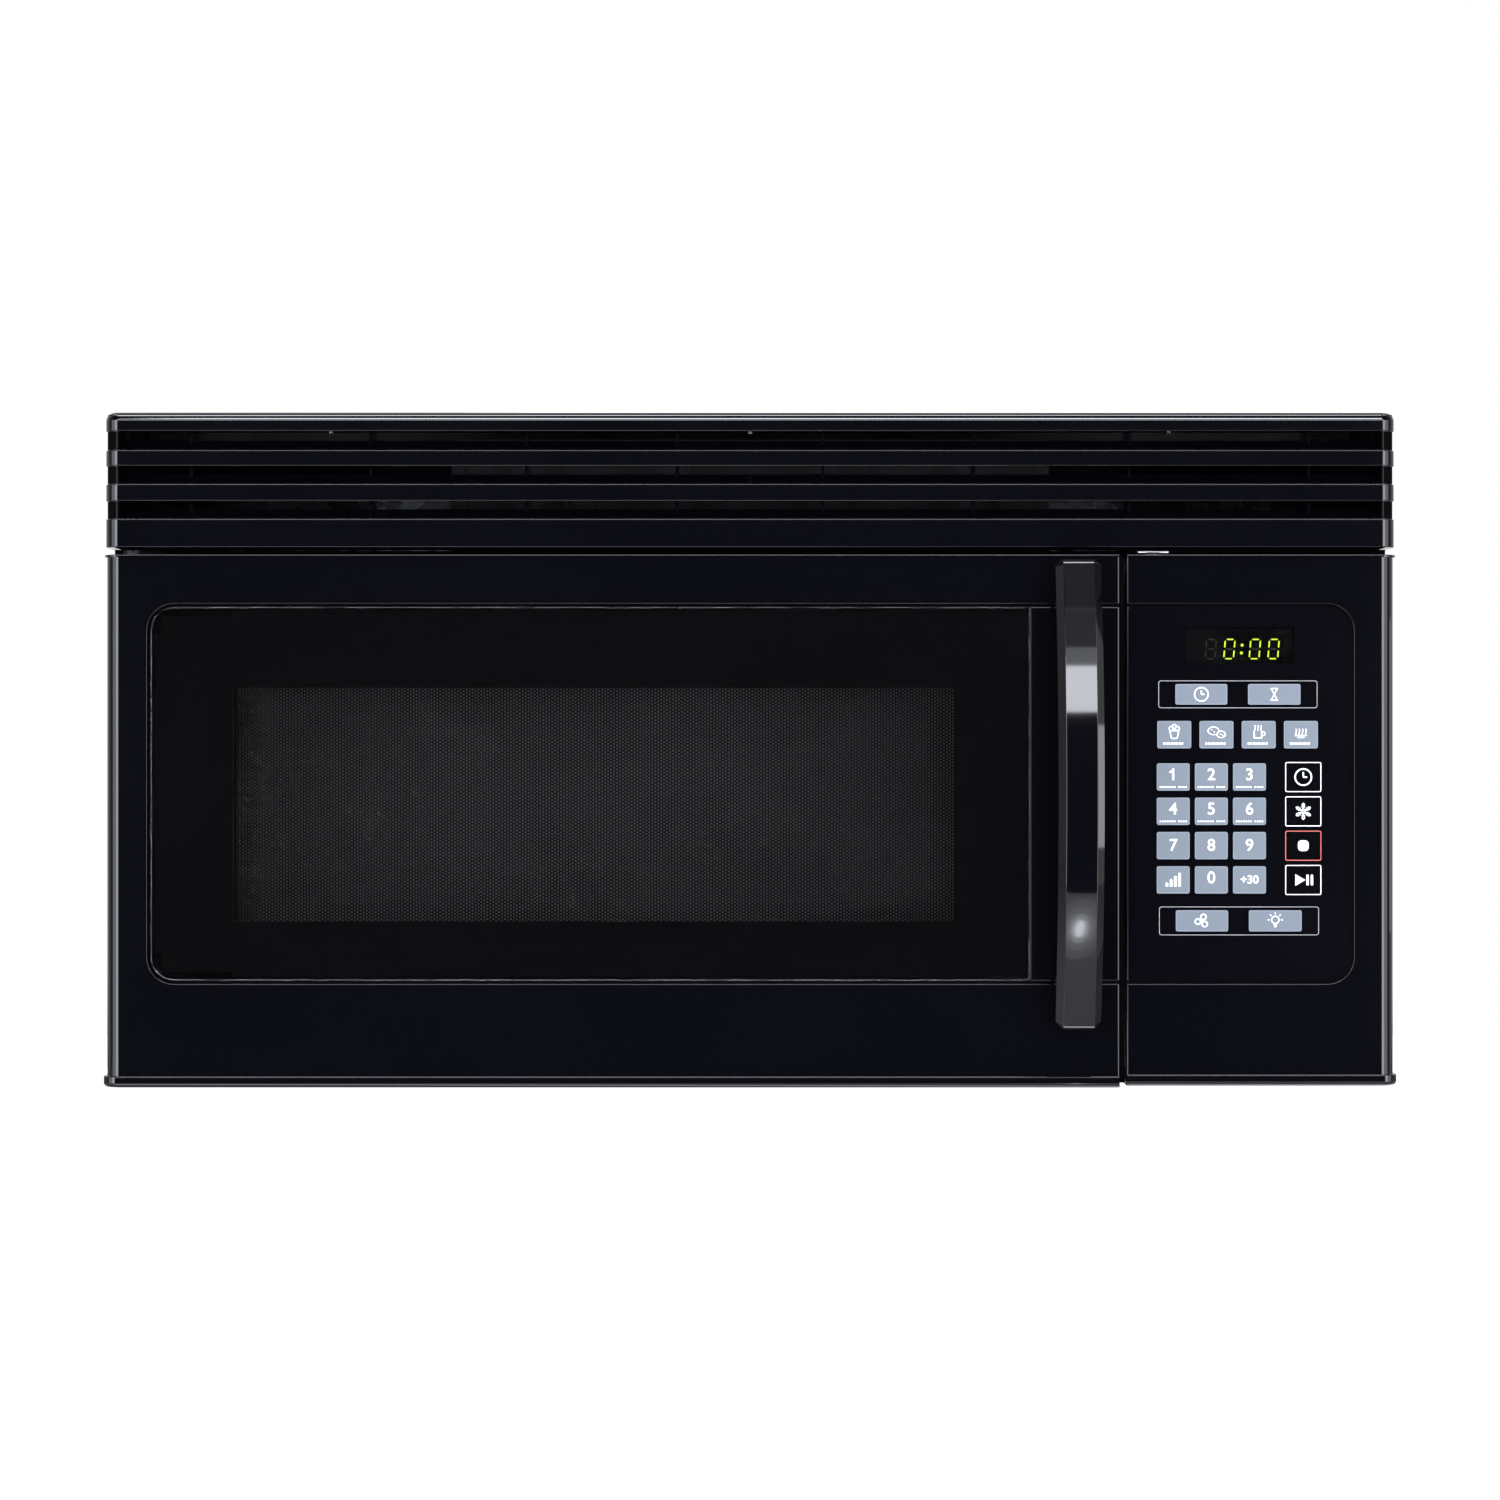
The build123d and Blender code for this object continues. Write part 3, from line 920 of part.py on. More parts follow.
def keypad_overlay():
    """Printed membrane in the moulding's recess, its key fields embossed."""
    sheet = window(PANEL_LEFT - 40, INSERT_RIGHT - GROOVE - 0.2,
                   INSERT_LOW + GROOVE + 0.2, INSERT_TOP - GROOVE - 0.2, INSERT_RADIUS - GROOVE)
    sheet = sheet & Pos(PANEL_LEFT + 1.8 + 100, 200) * Rectangle(200, 500)
    sheet -= window(DISPLAY_LEFT - 0.2, DISPLAY_RIGHT + 0.2, DISPLAY_LOW - 0.2, DISPLAY_TOP + 0.2, 1.2)
    membrane = extrude(front_plane(Y_FACE + 0.6) * sheet, 0.5)
    keys = Sketch() + [key_outline(*key) for key in KEYS]
    return membrane + extrude(front_plane(Y_FACE + 0.2) * keys, 0.5)


def key_outline(left, right, high, low):
    return window(left, right, low, high, 2.2)


def key_table():
    """Embossed key fields as (left, right, top, bottom), row by row down the panel."""
    keys = [(249.5, 280.7, 238.0, 225.2), (292.2, 323.7, 238.0, 225.2)]
    for k in range(4):
        keys.append((238.9 + 24.8 * k, 259.5 + 24.8 * k, 216.3, 199.5))
    for row in range(4):
        top = 191.4 - 20.15 * row
        for k in range(3):
            keys.append((238.6 + 22.4 * k, 258.6 + 22.4 * k, top, top - 16.7))
        keys.append((314.4, 335.6, top + 0.4, top - 17.2))
    keys += [(249.8, 281.2, 105.1, 92.0), (292.7, 324.4, 105.1, 92.0)]
    return keys


KEYS = key_table()


def control_board():
    """Main board with relays, supply transformer, connectors and the beeper."""
    y = Y_FACE + 15
    board = block(228, 366, y, y + 1.6, 34, 226)
    relays = block(236, 256, y + 1.6, y + 17, 60, 90) + block(236, 256, y + 1.6, y + 17, 100, 130)
    supply = block(300, 340, y + 1.6, y + 30, 52, 88)
    supply += block(306, 334, y + 1.6, y + 33, 46, 94)
    strips = block(286, 350, y + 1.6, y + 11, 196, 206) + block(286, 326, y + 1.6, y + 11, 168, 178)
    beeper = rod(262, y + 6.6, 190, 8, 10, "Y")
    glass = block(DISPLAY_LEFT + 3, DISPLAY_RIGHT - 3, Y_FACE + SKIN + 0.3, y,
                  DISPLAY_LOW + 2, DISPLAY_TOP - 2)
    board += block(DISPLAY_LEFT - 8, DISPLAY_RIGHT + 8, y, y + 1.6, 220, DISPLAY_TOP + 6)
    return board + relays + supply + strips + beeper + glass


def noise_filter_board():
    """Mains filter by the cord's way in: coil, two capacitors and the fuse."""
    x, y, z = 332.0, 130.0, 346.0
    board = block(x - 38, x + 38, y - 26, y + 26, z, z + 1.6)
    ring = Pos(x - 12, y + 4, z + 9.6) * (Cylinder(14, 16) - Cylinder(6, 16))
    cap = block(x + 10, x + 32, y - 16, y - 6, z + 1.6, z + 16)
    cap += block(x + 10, x + 32, y + 2, y + 12, z + 1.6, z + 16)
    fuse = rod(x - 8, y - 18, z + 4.9, 3.5, 30, "X")
    posts = block(x - 36, x - 31, y - 24, y - 19, OVEN_TOP + SHEET + 0.2, z) + block(
        x + 31, x + 36, y + 19, y + 24, OVEN_TOP + SHEET + 0.2, z)
    bridge = block(x - 38, x + 38, y - 24, y + 24, OVEN_TOP + SHEET + 0.2, OVEN_TOP + SHEET + 1.6)
    return board + ring + cap + fuse + posts + bridge


def cord_grommet():
    """Bush in the top for the mains cord, which the picture doesn't show."""
    profile = Polyline((5.5, 3.2), (14, 3.2), (14, 1.4), (CORD_RADIUS - 0.1, 1.4), (CORD_RADIUS - 0.1, -1.4),
                       (13, -1.4), (13, -4.5), (5.5, -4.5), close=True)
    bush = revolve(Plane.XZ * make_face(profile), Axis.Z)
    return Pos(CORD_X, CORD_Y, BODY_HEIGHT - 1.4) * bush


# ---------------------------------------------------------------- underside

def grease_filter(side):
    """Channel frame round a layered aluminium mesh, with a pull tab at its front."""
    place = Pos(side * FILTER_X, FILTER_Y)
    rim = RectangleRounded(FILTER_WIDTH, FILTER_LENGTH, 4)
    field = RectangleRounded(FILTER_WIDTH - 20, FILTER_LENGTH - 20, 2)
    frame = extrude(level(SHEET + 0.2) * place * rim, FILTER_THICK)
    frame -= extrude(level(SHEET - 1) * place * field, 2.6)
    frame -= extrude(level(SHEET + FILTER_THICK - 1.2) * place * field, 4)
    tab = Pos(side * FILTER_X, FILTER_Y - FILTER_LENGTH / 2 + 14) * SlotOverall(26, 6)
    return frame + extrude(level(SHEET + 1.3) * tab, 1.6)


def surface_lamp_cover():
    """Clear lens over the cooktop lamps, hung on two stub pins."""
    half = LENS_WIDTH / 2
    lens = block(-half, half, LENS_Y - LENS_DEPTH / 2, LENS_Y + LENS_DEPTH / 2, 0.1, 2.1)
    lens = fillet(lens.edges().filter_by(Axis.Z), 3)
    arms = []
    for side in (-1, 1):
        arm = block(side * (half - 6) - 4, side * (half - 6) + 4,
                    LENS_Y + LENS_DEPTH / 2 - 4, LENS_HINGE_Y, 1.0, 3.4)
        knuckle = rod(side * (half - 6), LENS_HINGE_Y, LENS_HINGE_Z, 2.2, 8, "X")
        pin = rod(side * (half + 0.6), LENS_HINGE_Y, LENS_HINGE_Z, 1.2, 7.6, "X")
        arms.append(arm + knuckle + pin)
    return lens + arms[0] + arms[1]


def surface_lamps():
    """Two reflector bulbs over the lens."""
    bulbs = []
    for side in (-1, 1):
        bulb = Pos(side * 34, LENS_Y, 14) * Rot(0, 90, 0) * Cylinder(7, 22)
        bulb = fillet(bulb.edges(), 3) + rod(side * 18, LENS_Y, 14, 5, 12, "X")
        bulbs.append(bulb)
    return Compound(children=bulbs)


def lamp_sockets():
    """Sockets for the two bulbs, on one bridge over the lens opening."""
    bridge = block(-12, 12, LENS_Y - 34, LENS_Y + 34, 24, 25.5)
    for side in (-1, 1):
        bridge += block(-12, 12, LENS_Y + side * 34 - 0.75, LENS_Y + side * 34 + 0.75, SHEET + 0.1, 25.5)
    cups = rod(0, LENS_Y, 14, 7.5, 23, "X")
    neck = block(-10, 10, LENS_Y - 5, LENS_Y + 5, 15, 24.5)
    part = bridge + cups + neck
    for side in (-1, 1):
        part -= rod(side * 12, LENS_Y, 14, 5.2, 1.8, "X")
    return part


# ---------------------------------------------------------------- the whole object

PARTS = {
    "outer_wrap": outer_wrap(),
    "rear_panel": rear_panel(),
    "base_plate": base_plate(),
    "top_rail": top_rail(),
    "component_shelf": component_shelf(),
    "casing_screws": casing_screws(),
    "oven_cavity": oven_cavity(),
    "waveguide": waveguide(),
    "waveguide_cover": waveguide_cover(),
    "cavity_lamp": cavity_lamp(),
    "thermal_cutouts": thermal_cutouts(),
    "turntable_motor": turntable_motor(),
    "turntable_coupler": turntable_coupler(),
    "glass_tray": glass_tray(),
    "roller_ring": roller_ring(),
    "roller_1": roller(0),
    "roller_2": roller(1),
    "roller_3": roller(2),
    "magnetron": magnetron(),
    "high_voltage_transformer": high_voltage_transformer(),
    "high_voltage_capacitor": high_voltage_capacitor(),
    "capacitor_clamp": capacitor_clamp(),
    "high_voltage_diode": high_voltage_diode(),
    "cooling_fan": cooling_fan(),
    "fan_shroud": fan_shroud(),
    "fan_motor": fan_motor(),
    "blower_housing_left": blower_housing(-1),
    "blower_housing_right": blower_housing(1),
    "blower_wheel_left": blower_wheel(-1),
    "blower_wheel_right": blower_wheel(1),
    "blower_motor": blower_motor(),
    "blower_shaft": blower_shaft(),
    "exhaust_adapter": exhaust_adapter(),
    "damper_flap": damper_flap(),
    "charcoal_filter": charcoal_filter(),
    "vent_grille": vent_grille(),
    "door_frame": door_frame(),
    "door_window": door_window(),
    "choke_panel": door_screen(),
    "perforated_screen": perforated_screen(),
    "inner_window": inner_window(),
    "choke_cover": choke_cover(),
    "door_handle": door_handle(),
    "handle_screws": handle_screws(),
    "latch_hooks": latch_hooks(),
    "latch_spring": latch_spring(),
    "hinge_brackets": hinge_brackets(),
    "latch_housing": latch_housing(),
    "interlock_switches": interlock_switches(),
    "control_frame": control_frame(),
    "keypad_overlay": keypad_overlay(),
    "display_window": display_window(),
    "control_board": control_board(),
    "noise_filter_board": noise_filter_board(),
    "cord_grommet": cord_grommet(),
    "grease_filter_left": grease_filter(-1),
    "grease_filter_right": grease_filter(1),
    "surface_lamp_cover": surface_lamp_cover(),
    "surface_lamps": surface_lamps(),
    "lamp_sockets": lamp_sockets(),
}

os.makedirs("parts", exist_ok=True)
for node, solid in PARTS.items():
    export_step(solid, f"parts/{node}.step")
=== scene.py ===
import json
import math

import bpy
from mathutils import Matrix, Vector


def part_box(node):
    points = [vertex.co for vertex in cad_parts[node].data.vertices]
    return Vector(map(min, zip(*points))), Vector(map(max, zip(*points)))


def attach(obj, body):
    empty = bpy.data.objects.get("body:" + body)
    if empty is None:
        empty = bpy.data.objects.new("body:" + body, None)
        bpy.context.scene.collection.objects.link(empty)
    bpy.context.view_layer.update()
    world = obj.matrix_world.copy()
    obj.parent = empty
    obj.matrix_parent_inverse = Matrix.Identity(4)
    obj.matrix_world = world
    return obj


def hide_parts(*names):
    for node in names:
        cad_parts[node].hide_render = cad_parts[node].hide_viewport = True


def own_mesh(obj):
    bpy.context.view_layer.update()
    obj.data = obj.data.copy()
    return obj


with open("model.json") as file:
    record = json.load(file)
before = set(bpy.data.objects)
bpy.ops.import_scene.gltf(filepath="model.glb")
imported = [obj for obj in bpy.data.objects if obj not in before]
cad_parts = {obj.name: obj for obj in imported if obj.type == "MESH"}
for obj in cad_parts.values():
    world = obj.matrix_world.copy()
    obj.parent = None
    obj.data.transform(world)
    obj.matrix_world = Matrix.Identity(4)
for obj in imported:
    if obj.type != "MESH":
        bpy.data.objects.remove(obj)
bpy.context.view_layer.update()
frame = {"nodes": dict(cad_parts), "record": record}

# ---- sizes and places, in metres, in the frame of the solid model
MM = 0.001
DOOR_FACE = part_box("door_frame")[0].y + 1.5 * MM      # front of the door behind its bottom lip
KEY_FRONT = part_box("keypad_overlay")[0].y             # front of the embossed keys
PANE_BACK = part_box("door_window")[1].y
LENS_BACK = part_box("display_window")[1].y
SCREEN_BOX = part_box("perforated_screen")
GRILLE_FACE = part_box("vent_grille")[0].y
MOUNT_HEIGHT = 0.45          # the appliance hangs this far over the surface below

PHOTO_SCALE = 0.5875 * MM    # one pixel of the picture on the door's face
PICTURE_HALF = 750           # half the picture's width, in pixels
PICTURE_MIDDLE = 198.9 * MM  # height of the picture's middle line
CAMERA_DISTANCE = 1.70       # from the door's face
SENSOR_WIDTH = 36.0          # of the camera, in millimetres

UPRIGHT = (math.pi / 2, 0, 0)  # turn that stands a flat shape up to face the front

# ---- printed keys
PRINT = 0.05 * MM            # half the thickness of a printed mark
KEY_PRINT = 0.04 * MM        # half the thickness of a key's printed field
KEY_CORNER = 1.1 * MM
KEY_INSET = 0.35             # the print stops this far inside the embossed field, in millimetres
KEY_RIM = 0.4 * MM
KEY_LINE = 0.5               # white and red outlines of keys, in millimetres
FRAME_LINE = 0.36            # outlines round a pair of keys, in millimetres
FRAME_CORNER = 1.6 * MM
LETTER_SIZE = 1.37           # type size over the height of its figures
FIGURE_HEIGHT = 7.2 * MM
FIGURE_LIFT = 1.2 * MM       # figures with strokes under them sit this much higher
DASH_DROP = 5.9 * MM         # strokes under a figure, below the key's middle
DASH_WIDTH = 16.5 * MM
FOOD_LIFT = 1.6 * MM
FOOD_DASH_DROP = 5.2 * MM
FOOD_DASH_WIDTH = 13.5 * MM
FOOD_DASH_HEIGHT = 1.5 * MM

# grey keys and outlined keys as left, right, bottom, top in millimetres
WIDE_KEYS = [(249.5, 280.7, 225.2, 238.0), (292.2, 323.7, 225.2, 238.0),
             (249.8, 281.2, 92.0, 105.1), (292.7, 324.4, 92.0, 105.1)]
FOOD_KEYS = [(238.9 + 24.8 * k, 259.5 + 24.8 * k, 199.5, 216.3) for k in range(4)]
NUMBER_KEYS = [(238.6 + 22.4 * column, 258.6 + 22.4 * column, 174.7 - 20.15 * row, 191.4 - 20.15 * row)
               for row in range(4) for column in range(3)]
LINED_KEYS = [(314.4, 335.6, 174.2 - 20.15 * row, 191.8 - 20.15 * row) for row in range(4)]
KEY_FRAMES = [(239.9, 333.3, 223.5, 239.7), (240.3, 334.2, 90.1, 106.9)]

# ---- seven segment display, in millimetres
DIGIT_HEIGHT, DIGIT_WIDTH = 11.4, 5.7
DIGIT_LEVEL = 258.3
DIGIT_PLACES = [271.0, 282.0, 297.0, 308.0]
DIGIT_LEAN = math.radians(5)
SEGMENT = 0.75               # thickness of a segment
LEVEL_SHORTER = 1.9          # a level segment is this much shorter than the digit is wide
UPRIGHT_SHORTER = 1.8        # and an upright one this much shorter than half the digit's height
COLON = 289.3
COLON_REACH = 2.3            # its dots lie this far over and under the middle
COLON_LEAN = 0.2
COLON_DOT = 0.85

# ---- grille and gaps, in millimetres
GRILLE_SLOTS = [(375.2, 386.4), (355.3, 365.9), (334.8, 345.3)]
GRILLE_HALF = 379.8          # half its width
RAIL_HALF = 371.2            # half the width of the flat face of its top rail
RAIL_FLAT = (387.2, 392.7)   # bottom and top of that face
RAIL_EDGE = 393.43           # height of the narrow edge over it
RAIL_EDGE_TILT = math.radians(-35)
SHADE_REACH = 8.7            # the slots' painted-shade sheets reach this far in from the grille's ends
SHADE_INSET = 0.84           # and lie this far behind its outline
SHADE_BACK = 20.0
SHADE_PLAY = 0.2             # between a painted-shade sheet and the louvres
SHADE_ROUND = 7.15
BEAD_RADIUS = 0.35
BEAD_IN = 7.6                # the beads stand this far in from the grille's ends
BEAD_BACK = 0.95             # and this far behind its face
BEAD_SHORTER = 1.6           # than the slot is high
GAP_OVER_DOOR = (314.3, 317.5)

# ---- perforated screen and the pane's print
HOLE_PITCH = 2.03 * MM
HOLE_RADIUS = 0.62 * MM
SCREEN_WINDOW = (-311.5, 122.5, 96.0, 237.0)     # left, right, bottom, top in millimetres
PRINT_OPENING = (-304.8, 119.8, 98.05, 235.4)
MARGIN_HALF = 0.3 * MM       # half the thickness of the screen's plain margin

# ---- latch spring
COIL_WIRE = 0.35 * MM        # radius of its wire
COIL_TURNS = 7

# ---- mesh of the grease filters
MESH_MARGIN = 9.6 * MM
MESH_LEVEL = 1.15 * MM
MESH_STRAND = 0.9 * MM
MESH_CELLS = 64
MESH_REACH = 1.1 * 1.42      # side of the turned grid over the mesh's depth


# ---------------------------------------------------------------- modelling helpers

def pick(*chosen):
    """Select these objects alone, the first one active."""
    bpy.ops.object.select_all(action="DESELECT")
    for piece in chosen:
        piece.select_set(True)
    bpy.context.view_layer.objects.active = chosen[0]


def settle(piece):
    """Put the piece's place, turn and size into its mesh."""
    pick(piece)
    bpy.ops.object.transform_apply(location=True, rotation=True, scale=True)
    return piece


def brick(middle, size, turn=(0, 0, 0)):
    """Block by its middle, its three sizes and its turn, in metres."""
    bpy.ops.object.select_all(action="DESELECT")
    bpy.ops.mesh.primitive_cube_add(size=1, location=middle, rotation=turn, scale=size)
    return settle(bpy.context.object)


def block(x_low, x_high, y_low, y_high, z_low, z_high):
    """Block between two corners, in metres."""
    middle = ((x_low + x_high) / 2, (y_low + y_high) / 2, (z_low + z_high) / 2)
    return brick(middle, (x_high - x_low, y_high - y_low, z_high - z_low))


def pick_edges(piece, wanted):
    """In edit mode, with only the edges selected whose two ends pass the test."""
    pick(piece)
    bpy.ops.object.mode_set(mode="EDIT")
    bpy.context.tool_settings.mesh_select_mode = (False, True, False)
    bpy.ops.mesh.select_all(action="DESELECT")
    bpy.ops.object.mode_set(mode="OBJECT")
    points = piece.data.vertices
    for edge in piece.data.edges:
        edge.select = wanted(points[edge.vertices[0]].co, points[edge.vertices[1]].co)
    bpy.ops.object.mode_set(mode="EDIT")


def pick_faces(piece, wanted):
    """In edit mode, with only the faces selected that pass the test."""
    pick(piece)
    bpy.ops.object.mode_set(mode="EDIT")
    bpy.context.tool_settings.mesh_select_mode = (False, False, True)
    bpy.ops.mesh.select_all(action="DESELECT")
    bpy.ops.object.mode_set(mode="OBJECT")
    for face in piece.data.polygons:
        face.select = wanted(face)
    bpy.ops.object.mode_set(mode="EDIT")


def rounded_plate(x_low, x_high, y_low, y_high, z_low, z_high, radius, steps=4):
    """Plate whose four corners are rounded as seen from the front."""
    plate = block(x_low, x_high, y_low, y_high, z_low, z_high)
    pick_edges(plate, lambda a, b: abs(a.x - b.x) < 1e-7 and abs(a.z - b.z) < 1e-7)
    bpy.ops.mesh.bevel(offset=radius, segments=steps, affect="EDGES")
    bpy.ops.object.mode_set(mode="OBJECT")
    return plate


def joined(name, parts):
    """Several meshes as one named piece."""
    pick(*parts)
    if len(parts) > 1:
        bpy.ops.object.join()
    piece = bpy.context.object
    piece.name = name
    piece.data.name = name
    return piece


def bar(x, y, z, length, thick, turn=0.0, depth=2 * PRINT):
    """Flat printed bar with softened corners, in metres, turned as seen from the front."""
    piece = brick((x, y, z), (length, depth, thick), (0, turn, 0))
    pick_edges(piece, lambda a, b: abs(a.y - b.y) > depth / 2)
    bpy.ops.mesh.bevel(offset=min(length, thick) * 0.3, segments=2, affect="EDGES")
    bpy.ops.object.mode_set(mode="OBJECT")
    return piece


def ring(x, y, z, radius, thick, squash=1.0, sides=32):
    """Flat printed ring or oval."""
    bpy.ops.object.select_all(action="DESELECT")
    bpy.ops.mesh.primitive_torus_add(
        location=(x, y, z), rotation=UPRIGHT, major_radius=radius, minor_radius=thick / 2,
        major_segments=sides, minor_segments=6)
    piece = bpy.context.object
    piece.scale = (1, squash, PRINT / thick * 2)
    return settle(piece)


def dot(x, y, z, radius, sides=20):
    """Flat printed dot."""
    bpy.ops.object.select_all(action="DESELECT")
    bpy.ops.mesh.primitive_cylinder_add(
        vertices=sides, radius=radius, depth=2 * PRINT, location=(x, y, z), rotation=UPRIGHT)
    return settle(bpy.context.object)


def figure(text, x, y, z, height, weight=0.1 * MM):
    """Printed number, made a mesh; its strokes are widened by the weight."""
    bpy.ops.object.select_all(action="DESELECT")
    bpy.ops.object.text_add(rotation=UPRIGHT)
    piece = bpy.context.object
    piece.data.body = text
    piece.data.align_x = "CENTER"
    piece.data.align_y = "CENTER"
    piece.data.size = height * LETTER_SIZE
    piece.data.extrude = PRINT
    piece.data.offset = weight
    piece.data.resolution_u = 4
    piece.location = (x, y, z)
    bpy.ops.object.convert(target="MESH")
    return settle(bpy.context.object)


# ---------------------------------------------------------------- shared effects

def new_group(name, inputs, outputs):
    """Empty node group with its numbers as inputs, and its own input and output node."""
    tree = bpy.data.node_groups.new(name, "ShaderNodeTree")
    for label, value in inputs.items():
        socket = tree.interface.new_socket(label, in_out="INPUT", socket_type="NodeSocketFloat")
        socket.default_value = value
    for label, kind in outputs.items():
        tree.interface.new_socket(label, in_out="OUTPUT", socket_type=kind)
    return tree, tree.nodes.new("NodeGroupInput"), tree.nodes.new("NodeGroupOutput")


def noise_on_object(tree, detail, scale_from=None, scale=1.0, stretch=(1, 1, 1)):
    """Noise on Object coordinates; its scale is a group input or a fixed number."""
    place = tree.nodes.new("ShaderNodeTexCoord")
    mapping = tree.nodes.new("ShaderNodeMapping")
    mapping.inputs["Scale"].default_value = stretch
    noise = tree.nodes.new("ShaderNodeTexNoise")
    noise.inputs["Scale"].default_value = scale
    noise.inputs["Detail"].default_value = detail
    tree.links.new(place.outputs["Object"], mapping.inputs["Vector"])
    tree.links.new(mapping.outputs["Vector"], noise.inputs["Vector"])
    if scale_from is not None:
        tree.links.new(scale_from, noise.inputs["Scale"])
    return noise.outputs["Fac"]


def moulded_gloss_group():
    """Polished moulding: edges softened by a small radius, faint flow ripple, faint handling marks."""
    tree, given, result = new_group(
        "moulded_gloss", {"Edge Radius": 0.0, "Ripple": 0.00001, "Ripple Scale": 30.0, "Mark Scale": 9.0},
        {"Variation": "NodeSocketFloat", "Normal": "NodeSocketVector"})
    edge = tree.nodes.new("ShaderNodeBevel")
    edge.samples = 6
    tree.links.new(given.outputs["Edge Radius"], edge.inputs["Radius"])
    bump = tree.nodes.new("ShaderNodeBump")
    tree.links.new(given.outputs["Ripple"], bump.inputs["Distance"])
    tree.links.new(noise_on_object(tree, 2, given.outputs["Ripple Scale"]), bump.inputs["Height"])
    tree.links.new(edge.outputs["Normal"], bump.inputs["Normal"])
    tree.links.new(bump.outputs["Normal"], result.inputs["Normal"])
    tree.links.new(noise_on_object(tree, 6, given.outputs["Mark Scale"]), result.inputs["Variation"])
    return tree


def grain_group():
    """Fine even texture of satin plastic, powder coat and enamel."""
    tree, given, result = new_group(
        "fine_grain", {"Grain Scale": 1500.0, "Depth": 0.00003, "Patch Scale": 12.0, "Edge Radius": 0.0003},
        {"Variation": "NodeSocketFloat", "Normal": "NodeSocketVector"})
    edge = tree.nodes.new("ShaderNodeBevel")
    edge.samples = 4
    tree.links.new(given.outputs["Edge Radius"], edge.inputs["Radius"])
    bump = tree.nodes.new("ShaderNodeBump")
    tree.links.new(given.outputs["Depth"], bump.inputs["Distance"])
    tree.links.new(noise_on_object(tree, 3, given.outputs["Grain Scale"]), bump.inputs["Height"])
    tree.links.new(edge.outputs["Normal"], bump.inputs["Normal"])
    tree.links.new(bump.outputs["Normal"], result.inputs["Normal"])
    tree.links.new(noise_on_object(tree, 5, given.outputs["Patch Scale"]), result.inputs["Variation"])
    return tree


def spangle_group():
    """Crystal flakes of zinc coated sheet."""
    tree, given, result = new_group(
        "zinc_spangle", {"Flake Scale": 110.0, "Depth": 0.00002},
        {"Variation": "NodeSocketFloat", "Normal": "NodeSocketVector"})
    place = tree.nodes.new("ShaderNodeTexCoord")
    flakes = tree.nodes.new("ShaderNodeTexVoronoi")
    flakes.feature = "F1"
    tree.links.new(place.outputs["Object"], flakes.inputs["Vector"])
    tree.links.new(given.outputs["Flake Scale"], flakes.inputs["Scale"])
    tone = tree.nodes.new("ShaderNodeSeparateColor")
    tree.links.new(flakes.outputs["Color"], tone.inputs["Color"])
    haze = tree.nodes.new("ShaderNodeMath")
    haze.operation = "MULTIPLY"
    tree.links.new(tone.outputs["Red"], haze.inputs[0])
    tree.links.new(noise_on_object(tree, 4, scale=14.0), haze.inputs[1])
    bump = tree.nodes.new("ShaderNodeBump")
    tree.links.new(given.outputs["Depth"], bump.inputs["Distance"])
    tree.links.new(tone.outputs["Green"], bump.inputs["Height"])
    tree.links.new(haze.outputs["Value"], result.inputs["Variation"])
    tree.links.new(bump.outputs["Normal"], result.inputs["Normal"])
    return tree


def drawn_group():
    """Fine lines of rolled, drawn or turned metal."""
    tree, given, result = new_group(
        "drawn_lines", {"Line Scale": 40.0, "Depth": 0.00002},
        {"Variation": "NodeSocketFloat", "Normal": "NodeSocketVector"})
    lines = noise_on_object(tree, 6, given.outputs["Line Scale"], stretch=(1, 24, 24))
    bump = tree.nodes.new("ShaderNodeBump")
    tree.links.new(given.outputs["Depth"], bump.inputs["Distance"])
    tree.links.new(lines, bump.inputs["Height"])
    tree.links.new(lines, result.inputs["Variation"])
    tree.links.new(bump.outputs["Normal"], result.inputs["Normal"])
    return tree


GLOSS = moulded_gloss_group()
GRAIN = grain_group()
SPANGLE = spangle_group()
DRAWN = drawn_group()


# ---------------------------------------------------------------- materials

def finish(name, effect, tones, roughness, effect_values=None, **sockets):
    """Material whose colour and roughness run between two values by the effect's variation."""
    material = bpy.data.materials.new(name)
    material.use_nodes = True
    nodes, links = material.node_tree.nodes, material.node_tree.links
    shader = nodes["Principled BSDF"]
    group = nodes.new("ShaderNodeGroup")
    group.node_tree = effect
    for label, value in (effect_values or {}).items():
        group.inputs[label].default_value = value
    colour = nodes.new("ShaderNodeMix")
    colour.data_type = "RGBA"
    colour.inputs["A"].default_value = (*tones[0], 1)
    colour.inputs["B"].default_value = (*tones[1], 1)
    spread = nodes.new("ShaderNodeMapRange")
    spread.inputs["From Min"].default_value = 0.3
    spread.inputs["From Max"].default_value = 0.7
    spread.inputs["To Min"].default_value = roughness[0]
    spread.inputs["To Max"].default_value = roughness[1]
    links.new(group.outputs["Variation"], colour.inputs["Factor"])
    links.new(group.outputs["Variation"], spread.inputs["Value"])
    links.new(colour.outputs["Result"], shader.inputs["Base Color"])
    links.new(spread.outputs["Result"], shader.inputs["Roughness"])
    links.new(group.outputs["Normal"], shader.inputs["Normal"])
    for label, value in sockets.items():
        shader.inputs[label.replace("_", " ")].default_value = value
    return material


def grey(value, blue=1.0):
    """Grey whose blue is stronger or weaker by a factor."""
    return (value, value, value * blue)


